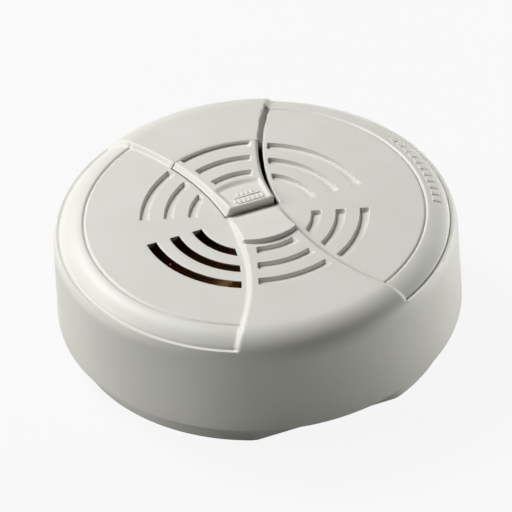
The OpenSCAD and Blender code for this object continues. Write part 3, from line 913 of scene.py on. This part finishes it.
for row_y, count, pitch, width, length in RIB_ROWS:
    for i in range(count):
        standing_rib(lever_bm, 0.5 + (i - (count - 1) / 2) * pitch, row_y, width, length)
for bar_y, length in ((7.5, 9.0), (3.95, 9.0)):
    standing_rib(lever_bm, 0.5, bar_y, length, 0.4)
switch_x, switch_y = 1.5, 6.0
turned(lever_bm, rounded(1.9, 34.3, LEVER_UNDER_Z + 0.1, 0.25), (switch_x, switch_y, 0))
for side in (-1, 1):
    inner, outer = sorted((side * 8.4, side * 9.9))
    block(lever_bm, (inner, PIVOT_Y - 1.8, PIVOT_Z - 1.8), (outer, PIVOT_Y + 1.6, ROOF_Z - 0.5))
    block(lever_bm, (inner, PIVOT_Y - 1.65, ROOF_Z - 0.8),
          (outer, PIVOT_Y + 0.2, LEVER_UNDER_Z + 0.1))
    turned(lever_bm, rounded(1.0, -1.5, 1.5, 0.15), (side * 10.7, PIVOT_Y, PIVOT_Z), "X", 24)
lever = piece("test_lever_moulding", lever_bm, "lever", cover_abs, ["test_button"],
              corner=45)
print("lever:", triangles(lever), "triangles")

# %% [markdown]
# ## The mounting bracket
# The bracket is a shallow dish with one straight side, a round hole in the middle, two screw
# slots and four hooks. Its outline is a circle that a straight line cuts. A rounded
# section is spun to a full ring, and then every point beyond the line is moved back on to
# it, so the straight side gets the same rounded edges as the rest.

# %% Bracket
BRACKET_R = box_mm("mounting_bracket")[1].x
BRACKET_H = 6.6
BRACKET_T = 2.5
BRACKET_FLAT_Y = -54.6
BRACKET_OPENING_R = 40.0
BRACKET_RIM_T = 2.0
HOOK_REACH_IN = 53.4
HOOK_R = BRACKET_R - 1.6     # the hooks run a little into the rim
SCREW_SPACING = 95.0
LUG_ANGLES = (20, 110, 200, 310)
OUTLINE_STEPS = 192


def rounded_path(corners, rounding, steps=3):
    """A closed section with every corner replaced by a short arc, as (out, up) points."""
    path = []
    for i, corner in enumerate(corners):
        before, after = Vector(corners[i - 1]), Vector(corners[(i + 1) % len(corners)])
        corner = Vector(corner)
        a = corner + (before - corner).normalized() * rounding
        b = corner + (after - corner).normalized() * rounding
        for k in range(steps + 1):
            t = k / steps
            path.append(a.lerp(corner, t).lerp(corner.lerp(b, t), t))
    return path


def screw_slot(bm, x):
    """Add a closed cutter for a long screw slot with round ends and a countersunk edge."""
    reach, radius, wide = 2.0, 2.3, 1.0
    section = [(0, -1), (radius, -1), (radius, BRACKET_T - 0.9), (radius + wide, BRACKET_T + 0.05),
               (radius + wide, BRACKET_T + 1), (0, BRACKET_T + 1)]
    for v in turned(bm, section):
        v.co.x += x + math.copysign(reach, v.co.x) * min(abs(v.co.x) * 1e3, 1)
    bmesh.ops.remove_doubles(bm, verts=bm.verts, dist=0.001)


bracket_bm = bmesh.new()
rim_path = rounded_path([(BRACKET_R, 0), (BRACKET_R, BRACKET_H),
                         (BRACKET_R - BRACKET_RIM_T, BRACKET_H),
                         (BRACKET_R - BRACKET_RIM_T, BRACKET_T), (BRACKET_OPENING_R, BRACKET_T),
                         (BRACKET_OPENING_R, 0)], 0.5)
rim_verts = [bracket_bm.verts.new((p.x, 0, p.y)) for p in rim_path]
rim_edges = [bracket_bm.edges.new((a, b)) for a, b in zip(rim_verts, rim_verts[1:] + rim_verts[:1])]
bmesh.ops.spin(bracket_bm, geom=rim_verts + rim_edges, cent=(0, 0, 0), axis=(0, 0, 1),
               angle=2 * math.pi, steps=OUTLINE_STEPS, use_merge=True)
for v in bracket_bm.verts:
    radius = math.hypot(v.co.x, v.co.y)
    if radius > BRACKET_R - 3:
        v.co.y = max(v.co.y, BRACKET_FLAT_Y + BRACKET_R - radius)
bracket = piece("bracket_dish", bracket_bm, "bracket", cover_abs,
                ["mounting_bracket"])
slots_bm = bmesh.new()
for side in (-1, 1):
    screw_slot(slots_bm, side * SCREW_SPACING / 2)
cut_away(bracket, slots_bm, solver="MANIFOLD")

hooks_bm = bmesh.new()
for angle in LUG_ANGLES:
    ring_sector(hooks_bm, HOOK_REACH_IN, HOOK_R, 4.5, 6.0, angle - 14, 26)
    ring_sector(hooks_bm, HOOK_REACH_IN + 0.2, HOOK_R, BRACKET_T - 0.4, 4.8, angle - 13.8, 1.6, 3)
hooks = piece("bracket_hooks", hooks_bm, "bracket", cover_abs)
edge_bevel = hooks.modifiers.new("soft_edges", "BEVEL")
edge_bevel.width = 0.25 * MM
edge_bevel.segments = 2
edge_bevel.limit_method = "ANGLE"
print("bracket:", triangles(bracket) + triangles(hooks), "triangles")

# %% [markdown]
# ## Softened parts
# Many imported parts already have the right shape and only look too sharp. A copy of the
# node is merged, its flat areas are dissolved to single faces, and a bevel modifier breaks
# every edge by a fraction of a millimetre, as a mould or a press does.

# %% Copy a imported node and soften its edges


def softened(name, node, body, finish, width, angle=35, segments=2):
    """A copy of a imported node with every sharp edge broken."""
    bm = bmesh.new()
    bm.from_mesh(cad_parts[node].data)
    bmesh.ops.scale(bm, vec=(1 / MM, 1 / MM, 1 / MM), verts=bm.verts)
    bmesh.ops.remove_doubles(bm, verts=bm.verts, dist=0.004)
    bmesh.ops.dissolve_limit(bm, angle_limit=math.radians(0.6), verts=bm.verts, edges=bm.edges)
    made = piece(name, bm, body, finish, [node], corner=angle)
    soft = made.modifiers.new("soft_edges", "BEVEL")
    soft.width = width * MM
    soft.segments = segments
    soft.limit_method = "ANGLE"
    soft.angle_limit = math.radians(angle)
    soft.harden_normals = True
    return made


# %% [markdown]
# ## Finishes for the back and the inside
# Most of these finishes are one colour with a slow or a fine change, so one function makes
# them from the numbers that tell them apart: two near tints, the size of the pattern in
# millimetres, the gloss and how far the surface stands up.

# %% One function for two-tone finishes


def two_tone(name, tint, shade, pattern_mm, roughness, rise_mm=0.01, metallic=0.0, ior=None,
             stretch=(1, 1, 1), spread=0.08):
    """A finish that wanders between two near tints, with gloss and relief that follow."""
    material, tree, surface = new_finish(name)
    place = add_node(tree, "ShaderNodeTexCoord").outputs["Object"]
    laid = add_node(tree, "ShaderNodeMapping", {"Vector": place}, {"Scale": stretch})
    speck = add_node(tree, "ShaderNodeTexNoise", {"Vector": laid.outputs["Vector"]},
                     {"Scale": 1 / (pattern_mm * MM), "Detail": 4.0, "Roughness": 0.6})
    tones = add_node(tree, "ShaderNodeValToRGB", {"Fac": speck.outputs["Fac"]})
    tones.color_ramp.elements[0].position = 0.35
    tones.color_ramp.elements[0].color = linear(shade)
    tones.color_ramp.elements[1].position = 0.65
    tones.color_ramp.elements[1].color = linear(tint)
    tree.links.new(tones.outputs["Color"], surface.inputs["Base Color"])
    gloss = add_node(tree, "ShaderNodeMapRange", {"Value": speck.outputs["Fac"]},
                     {"From Min": 0.3, "From Max": 0.7,
                      "To Min": roughness - spread, "To Max": roughness + spread})
    tree.links.new(gloss.outputs["Result"], surface.inputs["Roughness"])
    relief = add_node(tree, "ShaderNodeBump", {"Height": speck.outputs["Fac"]},
                      {"Strength": 0.4, "Distance": rise_mm * MM})
    tree.links.new(relief.outputs["Normal"], surface.inputs["Normal"])
    surface.inputs["Metallic"].default_value = metallic
    if ior:
        surface.inputs["IOR"].default_value = ior
    return material


# Paper phenolic laminate: brown, with the cloudy fibres of the paper under a dull resin.
phenolic = two_tone("paper_phenolic", "#C8955A", "#B07E45", 2.2, 0.5, ior=1.6)
# Black PBT from a mould: nearly black, a soft sheen and a fine grain.
black_pbt = two_tone("moulded_black_pbt", "#1D1D1F", "#151516", 0.5, 0.42, ior=1.57)
# Tin plate: a pale warm metal with a cloudy gloss where the tin flowed.
tin_plate = two_tone("reflowed_tin_plate", "#C9CAC6", "#AEAFAB", 1.6, 0.34, 0.004, 1.0)
# Rolled brass: yellow, with fine lines along the rolling direction.
rolled_brass = two_tone("rolled_brass", "#D2AE62", "#BD964A", 0.8, 0.3, 0.004, 1.0,
                        stretch=(1, 12, 1))
# Fired and silvered ceramic: chalky cream with a fine pitted surface.
fired_ceramic = two_tone("silvered_ceramic", "#DDD5C2", "#C6BCA5", 0.4, 0.55, ior=1.8)
# Drawn and nickel-plated steel: bright, with faint lines that run up from the drawing.
nickel_can = two_tone("drawn_nickel_steel", "#C2C3C0", "#A4A5A2", 0.7, 0.28, 0.004, 1.0,
                      stretch=(6, 6, 1))
# Moulded EPDM: matt black, a little grey where it was dusted with talc.
seal_epdm = two_tone("talced_epdm", "#2C2C2B", "#1B1B1B", 0.6, 0.78, ior=1.5)
# Charcoal felt: black fibres with a rough, uneven nap.
charcoal_felt = two_tone("charcoal_felt", "#34312D", "#1B1917", 0.25, 0.95, 0.08)
# Natural nylon: ivory and slightly waxy.
natural_nylon = two_tone("natural_nylon", "#ECE8DA", "#DFDAC9", 1.2, 0.4, ior=1.53)
# Heat-shrunk PVC sleeve: dark blue and glossy, with faint stretch marks round the can.
shrink_sleeve = two_tone("heat_shrunk_pvc", "#25325A", "#1B2545", 1.4, 0.22, ior=1.54,
                         stretch=(1, 1, 8))
# Dipped epoxy: a thick glossy tan coat with a slight orange peel.
dipped_epoxy = two_tone("dipped_tan_epoxy", "#C69A5A", "#B38647", 0.9, 0.2, 0.03, ior=1.55)
print("two-tone finishes:", len([m for m in bpy.data.materials if m.use_nodes]), "in all")

# %% [markdown]
# ## Back housing and battery door
# These two are plain mouldings: flat floors, bosses, clips and a bay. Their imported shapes
# are right, so they are softened copies in the plainer inner ABS.

# %% Housing and door
housing = softened("back_housing_pan", "back_housing", "alarm", housing_abs, 0.3)
door = softened("battery_door_panel", "battery_door", "door", housing_abs, 0.25)
print("housing:", triangles(housing), "door:", triangles(door), "triangles")

# %% [markdown]
# ## The battery
# A nine volt battery is a folded steel jacket, crimped over an end plate at each end. Its
# long edges are round, and the crimp leaves a low lip round both ends. The jacket starts as
# a cube, its four long edges get a wide bevel, and each end face is inset twice, down over
# the lip and up to the plate. Its finish is a dark lacquer with one bare metal band.

# %% Battery jacket
case_low, case_high = box_mm("battery_case")
battery_bm = bmesh.new()
made = bmesh.ops.create_cube(battery_bm, size=1)["verts"]
for v in made:
    v.co = Vector([mix(case_low[k], case_high[k], v.co[k] + 0.5) for k in range(3)])
long_edges = [e for e in battery_bm.edges
              if abs(e.verts[0].co.x - e.verts[1].co.x) > 10]
bmesh.ops.bevel(battery_bm, geom=long_edges, offset=2.4, affect="EDGES", segments=6,
                profile=0.5, material=-1)
ends = [f for f in battery_bm.faces if abs(f.normal.x) > 0.9]
rims = list({e for f in ends for e in f.edges})
bmesh.ops.bevel(battery_bm, geom=rims, offset=0.5, affect="EDGES", segments=3, profile=0.5,
                material=-1)
battery_bm.normal_update()
for x, inwards in ((case_low.x, 1), (case_high.x, -1)):
    end = [f for f in battery_bm.faces if abs(f.calc_center_median().x - x) < 0.05]
    bmesh.ops.inset_region(battery_bm, faces=end, thickness=0.45, depth=0)
    bmesh.ops.inset_region(battery_bm, faces=end, thickness=0.25, depth=-0.45)
    bmesh.ops.inset_region(battery_bm, faces=end, thickness=0.9, depth=0)
    bmesh.ops.inset_region(battery_bm, faces=end, thickness=0.2, depth=0.3)


def battery_lacquer():
    """Dark lacquer on steel, bare from one line along the jacket on, slightly scuffed."""
    material, tree, surface = new_finish("lacquered_steel_jacket")
    place = add_node(tree, "ShaderNodeTexCoord").outputs["Object"]
    along = add_node(tree, "ShaderNodeSeparateXYZ", {"Vector": place}).outputs["X"]
    scuff_mm = 1.1
    scuff = add_node(tree, "ShaderNodeTexNoise", {"Vector": place},
                     {"Scale": 1 / (scuff_mm * MM), "Detail": 5.0, "Roughness": 0.65})
    bare = add_node(tree, "ShaderNodeMapRange", {"Value": along},
                    {"From Min": (case_high.x - 12.2) * MM, "From Max": (case_high.x - 12) * MM})
    tones = add_node(tree, "ShaderNodeValToRGB", {"Fac": scuff.outputs["Fac"]})
    tones.color_ramp.elements[0].position = 0.3
    tones.color_ramp.elements[0].color = linear("#2E3136")
    tones.color_ramp.elements[1].position = 0.7
    tones.color_ramp.elements[1].color = linear("#3C4046")
    skin = add_node(tree, "ShaderNodeMixRGB",
                    {"Fac": bare.outputs["Result"], "Color1": tones.outputs["Color"]},
                    {"Color2": linear("#B9A27C")})
    tree.links.new(skin.outputs["Color"], surface.inputs["Base Color"])
    gloss = add_node(tree, "ShaderNodeMapRange", {"Value": scuff.outputs["Fac"]},
                     {"From Min": 0.3, "From Max": 0.7, "To Min": 0.26, "To Max": 0.4})
    tree.links.new(gloss.outputs["Result"], surface.inputs["Roughness"])
    tree.links.new(bare.outputs["Result"], surface.inputs["Metallic"])
    return material


jacket = battery_lacquer()
battery = piece("battery_jacket_folded", battery_bm, "alarm", jacket,
                ["battery_case"], corner=30)
print("battery:", triangles(battery), "triangles")

# %% Battery studs and contacts
studs_bm = bmesh.new()
mid_z = (case_low.z + case_high.z) / 2
mid_y = (case_low.y + case_high.y) / 2
stud_x = case_high.x
# The small stud is a plain button with a waist, and the large one is an open ring.
button = [(0, 0), (2.8, 0), (2.8, 0.4), (2.3, 0.7), (2.3, 1.2), (2.75, 1.6), (2.6, 2.0), (2.2, 2.1),
          (0, 2.1)]
turned(studs_bm, button, (stud_x, mid_y + 6.35, mid_z), "X", 36)
crown = [(3.0, 0), (3.9, 0), (3.9, 0.35), (3.5, 0.7), (3.5, 1.4), (3.8, 2.0), (3.6, 2.1), (3.2, 2.0),
         (3.0, 1.3), (3.0, 0)]
turned(studs_bm, crown, (stud_x, mid_y - 6.35, mid_z), "X", 36)
studs = piece("battery_snap_studs", studs_bm, "alarm", tin_plate,
              ["battery_studs"], corner=50)
contacts = softened("battery_spring_contacts", "battery_contacts", "alarm", tin_plate,
                    0.12)
print("studs:", triangles(studs), "triangles")

# %% [markdown]
# ## Circuit board and its screws
# The board is a stamped disc of phenolic laminate. Its edge is crisp, so it gets the
# smallest bevel. The four pan-head screws are turned shapes with a cross recess, which two
# thin blocks cut.

# %% Board and screws
BOARD_TOP = box_mm("circuit_board")[1].z
board = softened("phenolic_board_disc", "circuit_board", "alarm", phenolic, 0.12)
SCREW_PLACES = [(sx * 34.0, sy * 29.0) for sx in (-1, 1) for sy in (-1, 1)]
screws_bm = bmesh.new()
pan_head = [(0, 14), (0.7, 14), (1.3, 15.2), (1.3, BOARD_TOP), (2.9, BOARD_TOP),
            (2.9, BOARD_TOP + 0.8), (2.6, BOARD_TOP + 1.4), (1.9, BOARD_TOP + 1.8),
            (0, BOARD_TOP + 1.9)]
for x, y in SCREW_PLACES:
    turned(screws_bm, pan_head, (x, y, 0), steps=36)
screws = piece("board_pan_screws", screws_bm, "alarm", tin_plate,
               ["board_screws"], corner=50)
recess_bm = bmesh.new()
for x, y in SCREW_PLACES:
    for wide, deep in ((1.9, 0.36), (0.36, 1.9)):
        block(recess_bm, (x - wide, y - deep, BOARD_TOP + 0.7), (x + wide, y + deep, BOARD_TOP + 3),
              0.1, 1)
cut_away(screws, recess_bm, corner=50, solver="MANIFOLD")
print("screws:", triangles(screws), "triangles")

# %% [markdown]
# ## The horn
# A horn is a black resonator cup over a brass disc with a ceramic on it. The cup is a
# turned shape with a round mouth in its top, so its section runs down the outside and back
# up the inside, and a small step marks where the mouth is chamfered.

# %% Horn cup, disc and ceramic
horn_low, horn_high = box_mm("horn_housing")
horn_x, horn_y = (horn_low.x + horn_high.x) / 2, (horn_low.y + horn_high.y) / 2
horn_bm = bmesh.new()
cup = [(4.0, horn_high.z - 0.5), (4.5, horn_high.z), (11.6, horn_high.z), (12.0, horn_high.z - 0.3),
       (13.4, horn_high.z - 0.5), (13.9, horn_high.z - 1.0), (13.9, horn_low.z + 1.2),
       (14.0, horn_low.z + 1.0), (14.0, horn_low.z + 0.2), (13.8, horn_low.z), (12.5, horn_low.z),
       (12.4, horn_low.z + 0.2), (12.4, horn_high.z - 1.2), (4.0, horn_high.z - 1.2),
       (4.0, horn_high.z - 0.5)]
turned(horn_bm, cup, (horn_x, horn_y, 0), steps=72)
horn = piece("horn_resonator_cup", horn_bm, "alarm", black_pbt,
             ["horn_housing"], corner=45)
disc = softened("horn_brass_disc", "piezo_disc", "alarm", rolled_brass, 0.05)
ceramic = softened("horn_ceramic", "piezo_ceramic", "alarm", fired_ceramic, 0.05)
horn_pins = softened("horn_contact_pins", "horn_contacts", "alarm", tin_plate, 0.12)
print("horn:", triangles(horn), "pins:", triangles(horn_pins), "triangles")

# %% [markdown]
# ## The gas sensor
# The sensor's can is deep drawn, with a rolled rim over a rubber seal. A nylon cap with
# seven holes sits on top, over a pad of charcoal felt. The can is turned, the seal is a
# softened copy, and the cap keeps its packed holes and gets soft edges.

# %% Sensor
can_low, can_high = box_mm("co_sensor_can")
can_x, can_y = (can_low.x + can_high.x) / 2, (can_low.y + can_high.y) / 2
can_bm = bmesh.new()
can_section = [(0, can_low.z + 0.4), (7.6, can_low.z + 0.4), (8.0, can_low.z), (8.9, can_low.z),
               (9.2, can_low.z + 0.3), (9.2, can_high.z - 2.2), (8.8, can_high.z - 1.8),
               (8.8, can_high.z - 1.4), (9.4, can_high.z - 0.9), (9.5, can_high.z - 0.5),
               (9.3, can_high.z - 0.1), (8.8, can_high.z), (0, can_high.z)]
turned(can_bm, can_section, (can_x, can_y, 0), steps=64)
can = piece("sensor_drawn_can", can_bm, "alarm", nickel_can, ["co_sensor_can"],
            corner=50)
seal = softened("sensor_seal_ring", "co_sensor_seal", "alarm", seal_epdm, 0.15)
felt = softened("sensor_charcoal_pad", "co_sensor_filter", "alarm", charcoal_felt,
                0.15)
cap = softened("sensor_nylon_cap", "co_sensor_cap", "alarm", natural_nylon, 0.2)
sensor_pins = softened("sensor_solder_pins", "co_sensor_pins", "alarm", tin_plate,
                       0.1)
print("sensor can:", triangles(can), "cap:", triangles(cap), "pins:", triangles(sensor_pins))

# %% [markdown]
# ## Test switch
# The switch is a small black box with a round plunger. The lever's post presses the
# plunger, which is a body of its own, so it is a piece of its own with a domed top.

# %% Switch body and plunger
switch = softened("switch_case", "switch_body", "alarm", black_pbt, 0.2)
plunger_low, plunger_high = box_mm("switch_plunger")
plunger_bm = bmesh.new()
top_z = plunger_high.z
turned(plunger_bm, [(0, plunger_low.z), (1.6, plunger_low.z), (1.75, plunger_low.z + 0.15),
                    (1.75, top_z - 0.6), (1.6, top_z - 0.25), (1.2, top_z - 0.05), (0, top_z)],
       (switch_x, switch_y, 0), steps=32)
plunger = piece("switch_round_plunger", plunger_bm, "plunger", black_pbt,
                ["switch_plunger"], corner=50)
print("plunger:", triangles(plunger), "triangles")

# %% [markdown]
# ## Lamps
# A lamp is a bullet of tinted epoxy with a collar that has one flat side, cast in one
# piece. The epoxy is clear and strongly coloured, so it looks dark until it is lit: a deep
# base colour, a very smooth surface and an index of refraction of 1.54.

# %% Lamps


def tinted_epoxy(name, tint, shade):
    """Cast epoxy with a deep tint and small flow clouds."""
    return two_tone(name, tint, shade, 1.5, 0.12, 0.003, ior=1.54, spread=0.04)


def lamp(name, node, finish):
    """A bullet lamp with a collar."""
    low, high = box_mm(node)
    x, y = (low.x + high.x) / 2, (low.y + high.y) / 2
    straight = high.z - 2.5
    dome = [(2.5 * math.cos(a), straight + 2.5 * math.sin(a))
            for a in (math.radians(i * 10) for i in range(9))]
    bm = bmesh.new()
    turned(bm, [(0, low.z), (2.7, low.z), (2.9, low.z + 0.15), (2.9, low.z + 0.85),
                (2.7, low.z + 1.0), (2.5, low.z + 1.0)] + dome + [(0, high.z)], (x, y, 0))
    return piece(name, bm, "alarm", finish, [node], corner=50)


red_epoxy = tinted_epoxy("cast_red_epoxy", "#8E1A14", "#701410")
green_epoxy = tinted_epoxy("cast_green_epoxy", "#2C8C4A", "#1F7038")
red_lamp = lamp("red_lamp_bullet", "red_led", red_epoxy)
green_lamp = lamp("green_lamp_bullet", "green_led", green_epoxy)
print("lamps:", triangles(red_lamp) + triangles(green_lamp), "triangles")

# %% [markdown]
# ## Chips, inductor and capacitors
# These small parts fill the board. Chips are moulded blocks with a soft edge and bent
# leads. The inductor is a ferrite bobbin whose wire shows as a stack of round turns, and
# the electrolytic capacitors are cans with a rolled groove, a sleeve and a bare top.

# %% Chips
microcontroller = softened("microcontroller_chip", "microcontroller", "alarm", black_pbt,
                           0.1)
driver = softened("horn_driver_chip", "driver_chip", "alarm", black_pbt, 0.1)
print("chips:", triangles(microcontroller) + triangles(driver), "triangles")

# %% Inductor
WIRE = 0.5             # thickness of one turn of wire


def enamelled_wire():
    """Ferrite ends, and copper wire under clear enamel between them."""
    material, tree, surface = new_finish("ferrite_and_enamelled_wire")
    place = add_node(tree, "ShaderNodeTexCoord").outputs["Object"]
    speck_mm = 0.5
    speck = add_node(tree, "ShaderNodeTexNoise", {"Vector": place},
                     {"Scale": 1 / (speck_mm * MM), "Detail": 3.0})
    up = add_node(tree, "ShaderNodeSeparateXYZ", {"Vector": place}).outputs["Z"]
    height = add_node(tree, "ShaderNodeMapRange", {"Value": up},
                      {"From Min": BOARD_TOP * MM, "From Max": (BOARD_TOP + 8) * MM})
    zones = add_node(tree, "ShaderNodeValToRGB", {"Fac": height.outputs["Result"]})
    zones.color_ramp.interpolation = "CONSTANT"
    zones.color_ramp.elements[0].color = linear("#2A2A2C")
    zones.color_ramp.elements[1].position = 0.15
    zones.color_ramp.elements[1].color = linear("#8A4A26")
    top_zone = zones.color_ramp.elements.new(0.81)
    top_zone.color = linear("#2A2A2C")
    tree.links.new(zones.outputs["Color"], surface.inputs["Base Color"])
    gloss = add_node(tree, "ShaderNodeMapRange", {"Value": speck.outputs["Fac"]},
                     {"To Min": 0.3, "To Max": 0.5})
    tree.links.new(gloss.outputs["Result"], surface.inputs["Roughness"])
    return material


inductor_low, inductor_high = box_mm("boost_inductor")
inductor_x = (inductor_low.x + inductor_high.x) / 2
inductor_y = (inductor_low.y + inductor_high.y) / 2
low_z, high_z = inductor_low.z, inductor_high.z
bobbin = [(0, low_z), (4.0, low_z), (4.2, low_z + 0.2), (4.2, low_z + 1.0), (4.0, low_z + 1.2)]
turns = int((high_z - low_z - 2.4) / WIRE)
for i in range(turns):
    middle = low_z + 1.2 + (i + 0.5) * WIRE
    bobbin += [(3.3 + WIRE / 2 * math.cos(a), middle + WIRE / 2 * math.sin(a))
               for a in (math.radians(d) for d in (-80, -40, 0, 40, 80))]
bobbin += [(4.0, high_z - 1.2), (4.2, high_z - 1.0), (4.2, high_z - 0.2), (4.0, high_z), (0, high_z)]
inductor_bm = bmesh.new()
turned(inductor_bm, bobbin, (inductor_x, inductor_y, 0), steps=48)
inductor = piece("inductor_wound_bobbin", inductor_bm, "alarm", enamelled_wire(),
                 ["boost_inductor"], corner=60)
print("inductor:", turns, "turns,", triangles(inductor), "triangles")

# %% Electrolytic capacitors
capacitors_bm = bmesh.new()
for x, y, radius, height in ((37, -4, 4.0, 10.5), (30, 20, 3.2, 9.0)):
    top = BOARD_TOP + height
    can_wall = [(0, BOARD_TOP), (radius - 0.4, BOARD_TOP), (radius - 0.1, BOARD_TOP + 0.3),
                (radius, BOARD_TOP + 0.8), (radius, BOARD_TOP + 1.2), (radius - 0.45, BOARD_TOP + 1.7),
                (radius, BOARD_TOP + 2.2), (radius, top - 0.5), (radius - 0.2, top - 0.12),
                (radius - 0.6, top), (radius - 0.9, top - 0.25), (0, top - 0.25)]
    turned(capacitors_bm, can_wall, (x, y, 0), steps=48)
capacitors = piece("electrolytic_cans", capacitors_bm, "alarm", shrink_sleeve,
                   ["electrolytic_capacitors"], corner=50)
vents_bm = bmesh.new()
for x, y, reach, top in ((37, -4, 2.4, 10.5), (30, 20, 1.9, 9.0)):
    z = BOARD_TOP + top
    block(vents_bm, (x - reach, y - 0.12, z - 0.45), (x + reach, y + 0.12, z + 1), 0.04, 1)
    block(vents_bm, (x - 0.12, y - reach, z - 0.45), (x + 0.12, y + reach, z + 1), 0.04, 1)
cut_away(capacitors, vents_bm, corner=50, solver="MANIFOLD")

# %% Ceramic capacitors
ceramics_bm = bmesh.new()
for x, y in ((-13, -17), (-40, -14), (1, -23)):
    dipped = turned(ceramics_bm, rounded(3.6, -1.2, 1.2, 0.9, 5), (0, 0, 0), "Y", 40)
    facing = Matrix.Rotation(math.radians(25), 3, "Z")
    for v in dipped:
        v.co = facing @ v.co + Vector((x, y, BOARD_TOP + 4.2))
ceramics = piece("dipped_capacitors", ceramics_bm, "alarm", dipped_epoxy,
                 ["ceramic_capacitors"], corner=60)
print("capacitors:", triangles(capacitors) + triangles(ceramics), "triangles")

# %% [markdown]
# ## Resistors
# A small carbon film resistor is a rod with a fat collar at each end, over which the
# lacquer runs, and thin leads. Four rings of colour go round it. All five lie in line, so
# one ramp along Y paints the rings on every body.

# %% Resistors
resistors_low, resistors_high = box_mm("resistors")
RESISTOR_Y = (resistors_low.y + resistors_high.y) / 2
RESISTOR_HALF = 3.0


def ringed_lacquer():
    """Beige lacquer with four rings, and bare tin beyond the ends of the body."""
    material, tree, surface = new_finish("lacquer_with_rings")
    place = add_node(tree, "ShaderNodeTexCoord").outputs["Object"]
    along = add_node(tree, "ShaderNodeSeparateXYZ", {"Vector": place}).outputs["Y"]
    body = add_node(tree, "ShaderNodeMapRange", {"Value": along},
                    {"From Min": (RESISTOR_Y - 4.6) * MM, "From Max": (RESISTOR_Y + 4.6) * MM})
    rings = add_node(tree, "ShaderNodeValToRGB", {"Fac": body.outputs["Result"]})
    rings.color_ramp.interpolation = "CONSTANT"
    lacquer, tin = linear("#CDB68C"), linear("#B4B5B0")
    rings.color_ramp.elements[0].color = tin
    rings.color_ramp.elements[1].position = 0.83
    rings.color_ramp.elements[1].color = tin
    bands = ((0.17, lacquer), (0.27, linear("#7A4A22")), (0.32, lacquer), (0.39, linear("#20201F")),
             (0.44, lacquer), (0.51, linear("#A8321F")), (0.56, lacquer), (0.70, linear("#B08D3C")),
             (0.75, lacquer))
    for position, colour in bands:
        rings.color_ramp.elements.new(position).color = colour
    tree.links.new(rings.outputs["Color"], surface.inputs["Base Color"])
    drip_mm = 0.8
    drip = add_node(tree, "ShaderNodeTexNoise", {"Vector": place}, {"Scale": 1 / (drip_mm * MM)})
    gloss = add_node(tree, "ShaderNodeMapRange", {"Value": drip.outputs["Fac"]},
                     {"To Min": 0.2, "To Max": 0.36})
    tree.links.new(gloss.outputs["Result"], surface.inputs["Roughness"])
    return material


half_body = [(0.3, RESISTOR_HALF), (0.8, RESISTOR_HALF - 0.05), (1.1, RESISTOR_HALF - 0.35),
             (1.15, RESISTOR_HALF - 0.8), (1.05, RESISTOR_HALF - 1.3), (0.95, RESISTOR_HALF - 1.7)]
rod = [(0, -4.5), (0.3, -4.5)] + [(r, -h) for r, h in half_body]
rod += half_body[::-1] + [(0.3, 4.5), (0, 4.5)]
resistors_bm = bmesh.new()
for i in range(5):
    turned(resistors_bm, rod, (-28.5 + 4.4 * i, RESISTOR_Y, BOARD_TOP + 1.3), "Y", 24)
resistors = piece("film_resistors", resistors_bm, "alarm", ringed_lacquer(),
                  ["resistors"], corner=50)
print("resistors:", triangles(resistors), "triangles")
